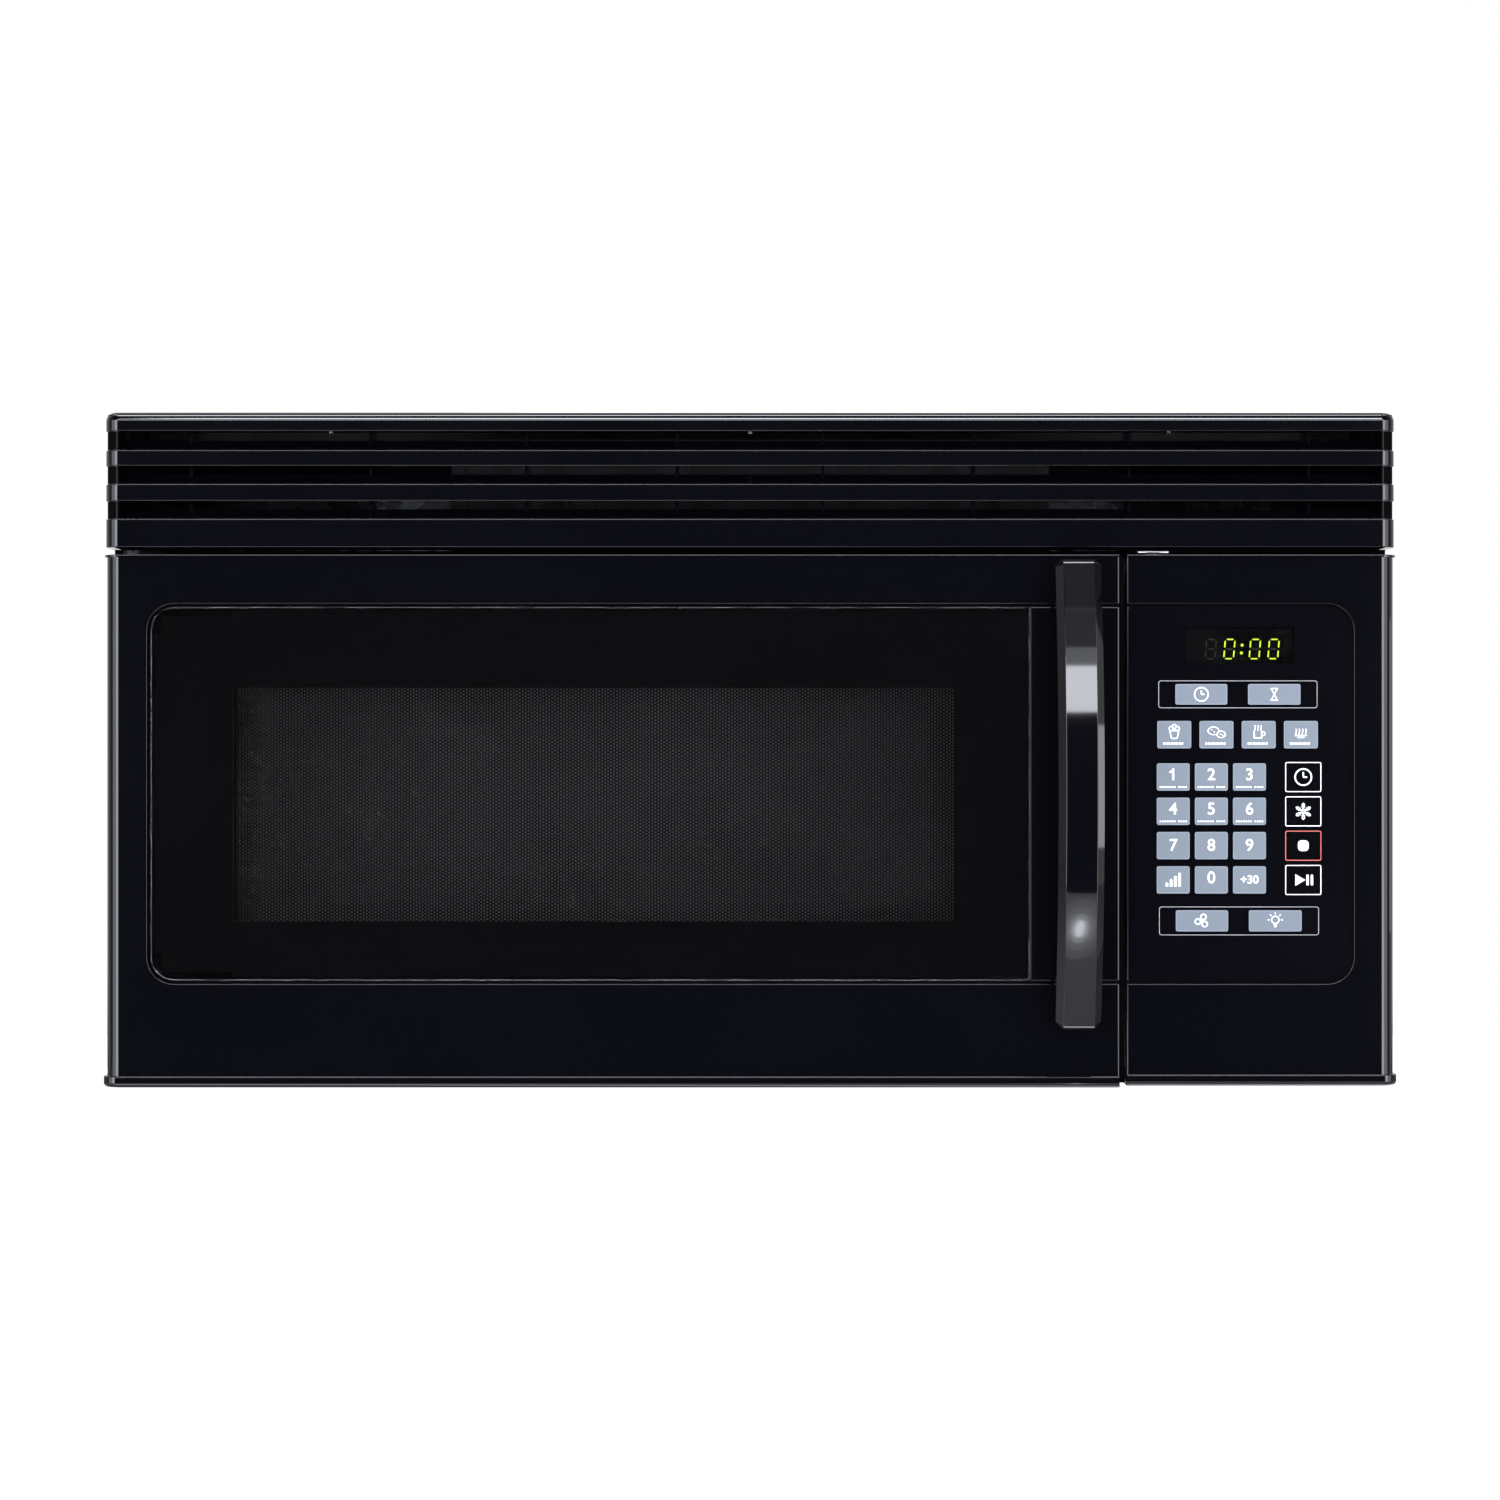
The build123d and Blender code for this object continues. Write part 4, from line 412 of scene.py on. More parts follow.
FINISHES = {
    "black_gloss": finish("black_gloss", GLOSS, (grey(0.00135, 1.75), grey(0.0019, 1.75)), (0.03, 0.055),
                          IOR=1.5),
    "handle_gloss": finish("handle_gloss", GLOSS, (grey(0.0014, 1.7), grey(0.0018, 1.7)), (0.025, 0.05),
                           IOR=1.5),
    "black_plastic": finish("black_plastic", GRAIN, (grey(0.012), grey(0.018)), (0.38, 0.5)),
    "casing_paint": finish("casing_paint", GRAIN, (grey(0.011), grey(0.016)), (0.36, 0.48),
                           {"Grain Scale": 900.0, "Depth": 0.00006}, Specular_IOR_Level=0.25),
    "galvanised_steel": finish("galvanised_steel", SPANGLE, (grey(0.40, 1.04), grey(0.62, 1.03)),
                               (0.26, 0.42), Metallic=1.0),
    "screw_steel": finish("screw_steel", DRAWN, (grey(0.45), grey(0.62)), (0.2, 0.34), Metallic=1.0),
    "motor_steel": finish("motor_steel", DRAWN, (grey(0.32), grey(0.44)), (0.3, 0.46), Metallic=1.0),
    "spring_steel": finish("spring_steel", DRAWN, (grey(0.34), grey(0.5)), (0.18, 0.3), Metallic=1.0),
    "oven_paint": finish("oven_paint", GRAIN, (grey(0.50, 0.98), grey(0.58, 0.98)), (0.3, 0.42)),
    "mica": finish("mica", GRAIN, ((0.50, 0.43, 0.30), (0.62, 0.56, 0.42)), (0.35, 0.55),
                   {"Patch Scale": 60.0}),
    "lamp_glass": finish("lamp_glass", GRAIN, (grey(0.82), grey(0.9)), (0.28, 0.4),
                         Transmission_Weight=0.75, IOR=1.5),
    "tray_glass": finish("tray_glass", GRAIN, ((0.86, 0.93, 0.91), (0.9, 0.96, 0.94)), (0.02, 0.06),
                         {"Depth": 0.000004}, Transmission_Weight=1.0, IOR=1.5),
    "clear_sheet": finish("clear_sheet", GLOSS, (grey(0.93), grey(0.96)), (0.03, 0.08),
                          Transmission_Weight=1.0, IOR=1.45),
    "dark_pane": finish("dark_pane", GLOSS, (grey(0.80), grey(0.83)), (0.0, 0.02),
                        {"Ripple": 0.000001, "Edge Radius": 0.0003}, Transmission_Weight=1.0, IOR=1.5),
    "display_lens": finish("display_lens", GLOSS, (grey(0.55), grey(0.58)), (0.02, 0.05),
                           {"Ripple": 0.000001}, Transmission_Weight=1.0, IOR=1.45),
    "thermostat_ceramic": finish("thermostat_ceramic", GRAIN, ((0.7, 0.66, 0.58), (0.78, 0.74, 0.67)),
                                 (0.6, 0.8)),
    "socket_ceramic": finish("socket_ceramic", GRAIN, ((0.76, 0.73, 0.67), (0.84, 0.82, 0.77)), (0.5, 0.7)),
    "white_plastic": finish("white_plastic", GRAIN, (grey(0.72, 0.97), grey(0.78, 0.97)), (0.35, 0.5)),
    "magnetron_metal": finish("magnetron_metal", DRAWN, (grey(0.5), grey(0.64)), (0.28, 0.44), Metallic=1.0),
    "transformer_iron": finish("transformer_iron", DRAWN, ((0.16, 0.10, 0.06), (0.26, 0.17, 0.11)),
                               (0.3, 0.5)),
    "capacitor_can": finish("capacitor_can", DRAWN, (grey(0.58), grey(0.68)), (0.22, 0.36), Metallic=1.0),
    "charcoal": finish("charcoal", GRAIN, (grey(0.008), grey(0.03)), (0.8, 0.95),
                       {"Grain Scale": 500.0, "Depth": 0.0006, "Patch Scale": 300.0}),
    "door_steel": finish("door_steel", GRAIN, (grey(0.006), grey(0.009)), (0.35, 0.5)),
    "screen_steel": finish("screen_steel", GRAIN, (grey(0.003), grey(0.005)), (0.55, 0.7),
                           {"Edge Radius": 0.0}, Specular_IOR_Level=0.1),
    "membrane": finish("membrane", GLOSS, (grey(0.0014, 1.7), grey(0.0018, 1.7)), (0.04, 0.07), IOR=1.5),
    "board_green": finish("board_green", GRAIN, ((0.02, 0.11, 0.05), (0.03, 0.16, 0.08)), (0.3, 0.5),
                          {"Patch Scale": 160.0}),
    "grommet_rubber": finish("grommet_rubber", GRAIN, (grey(0.012), grey(0.02)), (0.6, 0.75)),
    "filter_aluminium": finish("filter_aluminium", DRAWN, (grey(0.58), grey(0.72)), (0.28, 0.42),
                               Metallic=1.0),
}

SHARP = {"Edge Radius": 0.0}
KEY_TEXTURE = {"Depth": 0.000006, "Edge Radius": 0.0}
INK_TEXTURE = {"Depth": 0.000004, "Edge Radius": 0.0}

KEY_GREY = finish("key_grey", GRAIN, ((0.118, 0.144, 0.176), (0.124, 0.152, 0.185)), (0.4, 0.5), KEY_TEXTURE)
# lighter grey for the key rims: painted highlight of the embossed edge
KEY_RIM_HIGHLIGHT = finish("key_rim_highlight", GRAIN, ((0.186, 0.219, 0.252), (0.196, 0.230, 0.267)), (0.4, 0.5),
                   KEY_TEXTURE)
WHITE_INK = finish("white_ink", GRAIN, (grey(0.88), grey(0.93)), (0.45, 0.55), INK_TEXTURE)
GREY_INK = finish("grey_ink", GRAIN, (grey(0.30, 1.05), grey(0.34, 1.05)), (0.45, 0.55), INK_TEXTURE)
RED_INK = finish("red_ink", GRAIN, ((0.50, 0.09, 0.08), (0.56, 0.11, 0.09)), (0.45, 0.55), INK_TEXTURE)
LIT = finish("lit_segment", GRAIN, ((0.5, 0.8, 0.05), (0.55, 0.85, 0.06)), (0.5, 0.6), SHARP,
             Emission_Color=(0.72, 1.0, 0.03, 1), Emission_Strength=1.8)
UNLIT = finish("unlit_segment", GRAIN, ((0.09, 0.062, 0.056), (0.10, 0.07, 0.063)), (0.5, 0.6), SHARP)
# near-black matt sheet for the slots' ends and the gaps: painted shade, put where only shadow falls
SHADE = finish("painted_shade_black", GRAIN, (grey(0.0010, 1.2), grey(0.0014, 1.2)), (0.6, 0.75), {"Depth": 0.00001},
               Specular_IOR_Level=0.02)
DISPLAY_BLACK = finish("display_black", GRAIN, (grey(0.010, 1.15), grey(0.012, 1.15)), (0.5, 0.6), SHARP,
                       Specular_IOR_Level=0.0)
SCREEN_PRINT = finish("window_print", GRAIN, (grey(0.0040, 1.25), grey(0.0048, 1.25)), (0.5, 0.6), SHARP,
                      Specular_IOR_Level=0.0)


def dress_nodes():
    """Every solid gets the finish of its material slot; the damper flap's zinc sheet gets a darker, rougher
    copy of the zinc finish, painted shade that keeps the lamps from blowing it out white.
    """
    # darker zinc for the damper flap alone: painted shade, so its highlight does not clip to white
    darkened_flap = finish("darkened_flap_steel", SPANGLE, (grey(0.10), grey(0.17)), (0.5, 0.62), Metallic=1.0)
    for row in frame["record"]["subparts"]:
        node = frame["nodes"][row["node"]]
        node.data.materials.clear()
        own = darkened_flap if row["node"] == "damper_flap" else FINISHES[row["material_slot"]]
        node.data.materials.append(own)


def dressed(piece, material, body):
    """Give a new piece its finish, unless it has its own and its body."""
    if material is not None:
        piece.data.materials.clear()
        piece.data.materials.append(material)
    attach(piece, body)


# ---------------------------------------------------------------- door

def hole_cells(x, y, z):
    """Two hexagonal cells side by side in offset columns, each with its hole."""
    step = HOLE_PITCH * math.sqrt(3) / 2
    cells = []
    for k in range(2):
        bpy.ops.object.select_all(action="DESELECT")
        bpy.ops.mesh.primitive_circle_add(
            vertices=6, radius=HOLE_PITCH / math.sqrt(3), fill_type="NGON",
            rotation=(math.pi / 2, math.pi / 2, 0), location=(x + k * step, y, z + k * HOLE_PITCH / 2))
        cells.append(settle(bpy.context.object))
    pair = joined("screen_holes_left", cells)
    pick_faces(pair, lambda face: True)
    bpy.ops.mesh.inset(thickness=(HOLE_PITCH / 2 - HOLE_RADIUS), use_individual=True)
    bpy.ops.mesh.delete(type="FACE")
    bpy.ops.object.mode_set(mode="OBJECT")
    return pair


def perforated_field(y):
    """Holes over the screen's window as a left and a right half, with the field's four limits."""
    x_low, x_high, z_low, z_high = [v * MM for v in SCREEN_WINDOW]
    pair_width = HOLE_PITCH * math.sqrt(3)
    pairs = math.ceil((x_high - x_low) / pair_width) // 2
    rows = math.ceil((z_high - z_low) / HOLE_PITCH)
    left = hole_cells(x_low, y, z_low)
    for count, offset in ((pairs, (pair_width, 0, 0)), (rows, (0, 0, HOLE_PITCH))):
        array = left.modifiers.new("rows", "ARRAY")
        array.count = count
        array.use_relative_offset = False
        array.use_constant_offset = True
        array.constant_offset_displace = offset
        pick(left)
        bpy.ops.object.modifier_apply(modifier=array.name)
    bpy.ops.object.duplicate(linked=False)
    right = bpy.context.object
    right.location.x = pairs * pair_width
    settle(right)
    right.name = "screen_holes_right"
    return left, right, (x_low, x_low + 2 * pairs * pair_width, z_low, z_low + rows * HOLE_PITCH)


def screen():
    """Perforated sheet: two fields of holes and the plain margin that is welded to the choke panel."""
    low, high = SCREEN_BOX
    y = (low.y + high.y) / 2
    left, right, (x_low, x_high, z_low, z_high) = perforated_field(y)
    sheet = (y - MARGIN_HALF, y + MARGIN_HALF)
    strips = [block(low.x, x_low, *sheet, low.z, high.z),
              block(x_high, high.x, *sheet, low.z, high.z),
              block(x_low, x_high, *sheet, low.z, z_low),
              block(x_low, x_high, *sheet, z_high, high.z)]
    margin = joined("screen_margin", strips)
    for piece in (left, right, margin):
        dressed(piece, FINISHES["screen_steel"], "door")
    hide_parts("perforated_screen")


def window_print():
    """Black border printed on the back of the pane, open over the screen and stepped at round corners."""
    low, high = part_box("door_window")
    x_low, x_high, z_low, z_high = [v * MM for v in PRINT_OPENING]
    y = (PANE_BACK + 0.04 * MM, PANE_BACK + 0.09 * MM)
    edge, corner = 2 * MM, 16 * MM
    step_in, step_up = 6 * MM, 5 * MM
    strips = [block(low.x + edge, x_low, *y, low.z + corner, high.z - corner),
              block(x_high, high.x - edge, *y, low.z + edge, high.z - edge),
              block(x_low, x_high, *y, low.z + edge, z_low),
              block(x_low, x_high, *y, z_high, high.z - edge),
              block(low.x + step_in, x_low, *y, low.z + step_up, low.z + corner),
              block(low.x + step_in, x_low, *y, high.z - corner, high.z - step_up)]
    dressed(joined("window_print", strips), SCREEN_PRINT, "door")


def latch_coil():
    """Wound wire spring over the latch slide."""
    low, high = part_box("latch_spring")
    x, y = (low.x + high.x) / 2, (low.y + high.y) / 2
    bpy.ops.object.select_all(action="DESELECT")
    bpy.ops.mesh.primitive_circle_add(
        vertices=8, radius=COIL_WIRE, fill_type="NOTHING", rotation=UPRIGHT,
        location=(x, y, low.z + COIL_WIRE))
    piece = bpy.context.object
    bpy.ops.object.transform_apply(location=False, rotation=True, scale=True)
    bpy.ops.object.mode_set(mode="EDIT")
    bpy.ops.mesh.select_all(action="SELECT")
    bpy.ops.transform.translate(value=((high.x - low.x) / 2 - COIL_WIRE, 0, 0))
    bpy.ops.object.mode_set(mode="OBJECT")
    coil = piece.modifiers.new("coil", "SCREW")
    coil.axis = "Z"
    coil.iterations = COIL_TURNS
    coil.screw_offset = (high.z - low.z - 2 * COIL_WIRE) / COIL_TURNS
    coil.steps = coil.render_steps = 20
    bpy.ops.object.modifier_apply(modifier=coil.name)
    bpy.ops.object.mode_set(mode="EDIT")
    bpy.ops.mesh.select_all(action="SELECT")
    bpy.ops.mesh.remove_doubles(threshold=0.000001)
    bpy.ops.mesh.fill_holes(sides=0)
    bpy.ops.mesh.select_all(action="SELECT")
    bpy.ops.mesh.normals_make_consistent(inside=False)
    bpy.ops.object.mode_set(mode="OBJECT")
    settle(piece)
    dressed(joined("latch_coil", [piece]), FINISHES["spring_steel"], "door")
    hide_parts("latch_spring")
    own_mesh(piece)


# ---------------------------------------------------------------- grille and gaps

def behind_face(near, far):
    """Front and back of a piece that lies this many millimetres behind the grille's face."""
    return GRILLE_FACE + near * MM, GRILLE_FACE + far * MM


def grille_rail():
    """Flat face of the grille's top rail and the narrow bright edge above it."""
    half = RAIL_HALF * MM
    face = block(-half, half, *behind_face(-0.06, 0.3), *[z * MM for z in RAIL_FLAT])
    edge = brick((0, GRILLE_FACE + 0.2 * MM, RAIL_EDGE * MM), (2 * half, 0.6 * MM, 0.65 * MM),
                 (RAIL_EDGE_TILT, 0, 0))
    dressed(joined("grille_rail", [face, edge]), FINISHES["black_gloss"], "chassis")


def slot_shade(name, side, low, high):
    """Matt black sheet on the post at one end of a slot, rounded as the louvres are: painted shade that
    darkens the slot's end.
    """
    outer = side * (GRILLE_HALF - SHADE_INSET) * MM
    ends = sorted((side * (GRILLE_HALF - SHADE_REACH) * MM, outer))
    front, back = behind_face(SHADE_INSET, SHADE_BACK)
    shade = block(*ends, front, back, (low + SHADE_PLAY) * MM, (high - SHADE_PLAY) * MM)
    pick_edges(shade, lambda a, b: abs(a.z - b.z) > 1e-4 and abs(a.x - outer) < 1e-6 and
               abs(b.x - outer) < 1e-6 and abs(a.y - front) < 1e-6)
    bpy.ops.mesh.bevel(offset=SHADE_ROUND * MM, segments=10, affect="EDGES")
    bpy.ops.object.mode_set(mode="OBJECT")
    # the dark sheet stands in for the shadow at the slot's end: painted shade
    dressed(joined("slot_shade_" + name, [shade]), SHADE, "chassis")


def slot_bead(name, side, low, high):
    """Thin upright bead in front of the shade."""
    x, y = side * (GRILLE_HALF - BEAD_IN) * MM, GRILLE_FACE + BEAD_BACK * MM
    bpy.ops.object.select_all(action="DESELECT")
    bpy.ops.mesh.primitive_cylinder_add(
        vertices=16, radius=BEAD_RADIUS * MM, depth=(high - low - BEAD_SHORTER) * MM,
        location=(x, y, (low + high) / 2 * MM))
    bead = joined("slot_bead_" + name, [settle(bpy.context.object)])
    dressed(bead, FINISHES["black_gloss"], "chassis")


def slot_ends():
    """Painted-shade sheet and bead at both ends of every slot, numbered from the top."""
    for number, (low, high) in enumerate(GRILLE_SLOTS):
        for side, word in ((-1, "left"), (1, "right")):
            name = "%s_%d" % (word, number + 1)
            slot_shade(name, side, low, high)
            slot_bead(name, side, low, high)


def gap_shade_fillers():
    """Matt black fillers behind the gap over the door and behind the gap between door and panel: painted
    shade that keeps the gaps dark where the background and the interior would show.
    """
    levels = [z * MM for z in GAP_OVER_DOOR]
    parts = []
    for side in (-1, 1):
        ends = sorted((side * 366 * MM, side * 376.2 * MM))
        parts.append(block(*ends, *behind_face(14, 34), *levels))
    parts.append(block(-330 * MM, 366 * MM, *behind_face(24, 34), *levels))
    parts.append(block(218.0 * MM, 220.6 * MM, *behind_face(4, 7), 3 * MM, 313 * MM))
    # painted shade: dark sheets standing in for the shadow inside the gaps
    dressed(joined("gap_shade_fillers", parts), SHADE, "chassis")


def gap_clips():
    """Thin steel clip and two studs that glint in the gap over the door and the panel."""
    clip = rounded_plate(228.8 * MM, 246.8 * MM, *behind_face(6, 9), 315.2 * MM, 315.9 * MM, 0.3 * MM)
    studs = [dot(x * MM, GRILLE_FACE + 12 * MM, 316.4 * MM, 0.5 * MM) for x in (-367.6, -364.2)]
    dressed(joined("gap_clips", [clip] + studs), FINISHES["motor_steel"], "chassis")


# ---------------------------------------------------------------- keypad and display

def key_cap(left, right, low, high):
    """Printed grey key whose narrow rim ring is a lighter grey: a painted highlight of its embossed edge."""
    cap = rounded_plate((left + KEY_INSET) * MM, (right - KEY_INSET) * MM, KEY_FRONT - KEY_PRINT,
                        KEY_FRONT + KEY_PRINT, (low + KEY_INSET) * MM, (high - KEY_INSET) * MM, KEY_CORNER)
    cap.data.materials.append(KEY_GREY)
    cap.data.materials.append(KEY_RIM_HIGHLIGHT)
    pick_faces(cap, lambda face: face.normal.y < -0.9)
    bpy.ops.mesh.inset(thickness=KEY_RIM)
    bpy.ops.object.mode_set(mode="OBJECT")
    # the rim ring gets the lighter grey, a painted highlight
    for face in cap.data.polygons:
        if face.normal.y < -0.9 and not face.select:
            face.material_index = 1
    return cap


def outline(left, right, low, high, line, radius=KEY_CORNER):
    """Rounded outline of a key or of a pair of keys."""
    plate = rounded_plate(left * MM, right * MM, KEY_FRONT - KEY_PRINT, KEY_FRONT + 0.5 * KEY_PRINT, low * MM,
                          high * MM, radius, 5)
    pick_faces(plate, lambda face: abs(face.normal.y) > 0.9)
    bpy.ops.mesh.inset(thickness=line * MM)
    bpy.ops.mesh.delete(type="FACE")
    bpy.ops.object.mode_set(mode="OBJECT")
    pick_edges(plate, lambda a, b: True)
    bpy.ops.mesh.select_all(action="DESELECT")
    bpy.ops.mesh.select_non_manifold()
    bpy.ops.mesh.bridge_edge_loops()
    bpy.ops.object.mode_set(mode="OBJECT")
    return plate


def centre(key):
    """Middle of a key, in metres."""
    left, right, low, high = key
    return (left + right) / 2 * MM, (low + high) / 2 * MM


# Each mark is drawn round its middle, and its parts are shares of its size.

def clock_mark(x, y, z, size):
    """Dial with two hands."""
    return [ring(x, y, z, size, 0.18 * size), bar(x, y, z + size * 0.3, 0.18 * size, size * 0.62),
            bar(x + size * 0.22, y, z, size * 0.5, 0.18 * size)]


def hourglass_mark(x, y, z, size):
    """Two crossed strokes between two levels."""
    marks = [bar(x, y, z + s * size, size * 1.3, 0.22 * size) for s in (-1, 1)]
    marks += [bar(x, y, z, size * 2.2, 0.17 * size, turn=s * math.radians(62)) for s in (-1, 1)]
    return marks


def steam(x, y, z, size, count=3):
    """Row of bent wisps."""
    marks = []
    for k in range(count):
        at = x + (k - (count - 1) / 2) * size * 0.5
        marks += [bar(at, y, z, 0.16 * size, size * 0.6, turn=math.radians(12)),
                  bar(at + 0.04 * size, y, z + 0.42 * size, 0.16 * size, size * 0.4, turn=math.radians(-16))]
    return marks


def popped_mark(x, y, z, size):
    """Tub with three puffs."""
    marks = [bar(x + s * size * 0.52, y, z - size * 0.35, 0.16 * size, size * 1.1, turn=s * math.radians(12))
             for s in (-1, 1)]
    marks += [bar(x, y, z - size * 0.9, size * 0.8, 0.16 * size),
              bar(x, y, z + size * 0.18, size * 1.3, 0.16 * size)]
    marks += [ring(x + dx * size, y, z + dz * size, size * 0.3, 0.14 * size, sides=16)
              for dx, dz in ((-0.42, 0.48), (0.42, 0.48), (0.0, 0.75))]
    return marks


def baked_mark(x, y, z, size):
    """Two ovals with a few eyes."""
    marks = [ring(x - 0.4 * size, y, z + 0.15 * size, size * 0.72, 0.15 * size, 0.72),
             ring(x + 0.62 * size, y, z - 0.32 * size, size * 0.56, 0.15 * size, 0.78)]
    marks += [dot(x + dx * size, y, z + dz * size, 0.09 * size, sides=10)
              for dx, dz in ((-0.65, 0.3), (-0.3, 0.02), (0.55, -0.3), (0.82, -0.42))]
    return marks


def cup_mark(x, y, z, size):
    """Mug with a handle under three wisps."""
    marks = [bar(x - size * 0.6, y, z - size * 0.3, 0.17 * size, size * 0.9),
             bar(x + size * 0.4, y, z - size * 0.3, 0.17 * size, size * 0.9),
             bar(x - 0.1 * size, y, z - size * 0.78, size * 1.15, 0.17 * size),
             ring(x + size * 0.62, y, z - size * 0.22, size * 0.24, 0.14 * size, sides=16)]
    return marks + steam(x - 0.1 * size, y, z + size * 0.4, size * 0.8)


def plate_mark(x, y, z, size):
    """Plate on its foot under four wisps."""
    marks = [bar(x, y, z - size * 0.55, size * 1.9, 0.17 * size),
             bar(x, y, z - size * 0.85, size * 1.1, 0.17 * size)]
    return marks + steam(x, y, z - size * 0.1, size, 4)


def level_mark(x, y, z, size):
    """Rising bars."""
    return [bar(x + (k - 1.5) * size * 0.62, y, z - size + size * (0.3 + 0.24 * k), 0.38 * size,
                size * (0.6 + 0.48 * k)) for k in range(4)]


def snow_mark(x, y, z, size):
    """Flake of three strokes with forked tips."""
    marks = [bar(x, y, z, 0.2 * size, size * 2, turn=math.radians(60 * k)) for k in range(3)]
    for k in range(6):
        turn = math.radians(60 * k)
        tip_x, tip_z = x + 0.66 * size * math.sin(turn), z + 0.66 * size * math.cos(turn)
        marks += [bar(tip_x, y, tip_z, 0.15 * size, size * 0.5, turn=turn + s * math.radians(50))
                  for s in (-1, 1)]
    return marks


def stop_mark(x, y, z, size):
    """Filled square."""
    return [bar(x, y, z, size * 1.5, size * 1.5)]


def start_mark(x, y, z, size):
    """Wedge and two upright bars."""
    bpy.ops.object.select_all(action="DESELECT")
    bpy.ops.mesh.primitive_cylinder_add(
        vertices=3, radius=size, depth=2 * PRINT, rotation=(math.pi / 2, math.pi / 2, 0),
        location=(x - size * 0.7, y, z))
    wedge = settle(bpy.context.object)
    return [wedge] + [bar(x + size * (0.65 + 0.65 * k), y, z, 0.36 * size, size * 1.6) for k in range(2)]


def fan_mark(x, y, z, size):
    """Hub and three round blades."""
    marks = [dot(x, y, z, 0.2 * size)]
    for k in range(3):
        turn = math.radians(120 * k + 20)
        marks.append(ring(x + 0.56 * size * math.sin(turn), y, z + 0.56 * size * math.cos(turn), size * 0.36,
                          0.17 * size, sides=20))
    return marks


def bulb_mark(x, y, z, size):
    """Bulb over its cap, with five rays."""
    marks = [ring(x, y, z + 0.15 * size, size * 0.55, 0.17 * size, sides=24),
             bar(x, y, z - size * 0.62, size * 0.5, 0.17 * size),
             bar(x, y, z - size * 0.88, size * 0.4, 0.15 * size)]
    for k in range(5):
        turn = math.radians(-90 + 45 * k)
        marks.append(bar(x + size * math.sin(turn), y, z + 0.15 * size + size * math.cos(turn), 0.15 * size,
                         size * 0.34, turn=turn))
    return marks


def dashes(x, y, z, width, height, words):
    """Row of short strokes in groups under a key's main mark; each group holds so many strokes."""
    between = 0.8
    step = width / (sum(words) + between)
    strokes, at = [], x - width / 2
    for count in words:
        strokes += [bar(at + (k + 0.5) * step, y, z, step * 0.66, height) for k in range(count)]
        at += (count + between) * step
    return strokes


def key_fields():
    """Printed fields and outlines of all keys."""
    caps = [key_cap(*key) for key in WIDE_KEYS + FOOD_KEYS + NUMBER_KEYS]
    dressed(joined("grey_keys", caps), None, "chassis")
    white = [outline(*LINED_KEYS[k], KEY_LINE) for k in (0, 1, 3)]
    dressed(joined("white_outlines", white), WHITE_INK, "chassis")
    dressed(joined("red_outline", [outline(*LINED_KEYS[2], KEY_LINE)]), RED_INK, "chassis")
    frames = [outline(*each, FRAME_LINE, FRAME_CORNER) for each in KEY_FRAMES]
    dressed(joined("grey_outlines", frames), GREY_INK, "chassis")


def key_figures(y):
    """Figures of the number keys, the first six over a row of strokes."""
    marks = []
    for number, key in zip("123456789", NUMBER_KEYS):
        x, z = centre(key)
        lift = FIGURE_LIFT if number in "123456" else 0.0
        marks.append(figure(number, x, y, z + lift, FIGURE_HEIGHT))
        if number == "1":
            flag = (x - 1.1 * MM, y, z + lift + 2.2 * MM)
            marks.append(bar(*flag, 2.6 * MM, 1.1 * MM, turn=math.radians(-38)))
        if number in "123456":
            marks += dashes(x, y, z - DASH_DROP, DASH_WIDTH, 1.0 * MM, (7, 4))
    x, z = centre(NUMBER_KEYS[10])
    marks.append(figure("0", x, y, z + 1.1 * MM, FIGURE_HEIGHT))
    x, z = centre(NUMBER_KEYS[11])
    marks.append(figure("+30", x, y, z, 5.0 * MM, 0.14 * MM))
    return marks


def key_signs(y):
    """Signs of the other keys, each with its size in millimetres."""
    signs = [(WIDE_KEYS[0], clock_mark, 4.0), (WIDE_KEYS[1], hourglass_mark, 3.4),
             (WIDE_KEYS[2], fan_mark, 4.4), (WIDE_KEYS[3], bulb_mark, 3.9),
             (FOOD_KEYS[0], popped_mark, 4.2), (FOOD_KEYS[1], baked_mark, 4.4),
             (FOOD_KEYS[2], cup_mark, 4.4), (FOOD_KEYS[3], plate_mark, 3.8),
             (NUMBER_KEYS[9], level_mark, 4.0),
             (LINED_KEYS[0], clock_mark, 4.8), (LINED_KEYS[1], snow_mark, 5.0),
             (LINED_KEYS[2], stop_mark, 4.2), (LINED_KEYS[3], start_mark, 3.9)]
    marks = []
    for key, mark, size in signs:
        x, z = centre(key)
        lift = FOOD_LIFT if key in FOOD_KEYS else 0.0
        marks += mark(x, y, z + lift, size * MM)
        if key in FOOD_KEYS:
            marks += dashes(x, y, z - FOOD_DASH_DROP, FOOD_DASH_WIDTH, FOOD_DASH_HEIGHT, (8,))
    return marks


def keypad():
    """Printed keys, and the white figures and signs on them as one piece."""
    key_fields()
    y = KEY_FRONT - KEY_PRINT - PRINT / 2
    dressed(joined("key_marks", key_figures(y) + key_signs(y)), WHITE_INK, "chassis")


def nought(x):
    """Six segments of a nought, leaning as on the real display, as (x, z, length, turn)."""
    half, lean = DIGIT_HEIGHT / 2, math.tan(DIGIT_LEAN)
    strokes = [(x + lean * level * half, level * half, DIGIT_WIDTH - LEVEL_SHORTER, 0.0)
               for level in (-1, 1)]
    strokes += [(x + side * DIGIT_WIDTH / 2 + lean * level * half / 2, level * half / 2,
                 half - UPRIGHT_SHORTER, math.pi / 2 + DIGIT_LEAN)
                for side in (-1, 1) for level in (-1, 1)]
    return strokes


def middle_segment(x):
    """Segment between the two halves of a digit."""
    return (x, 0.0, DIGIT_WIDTH - LEVEL_SHORTER, 0.0)


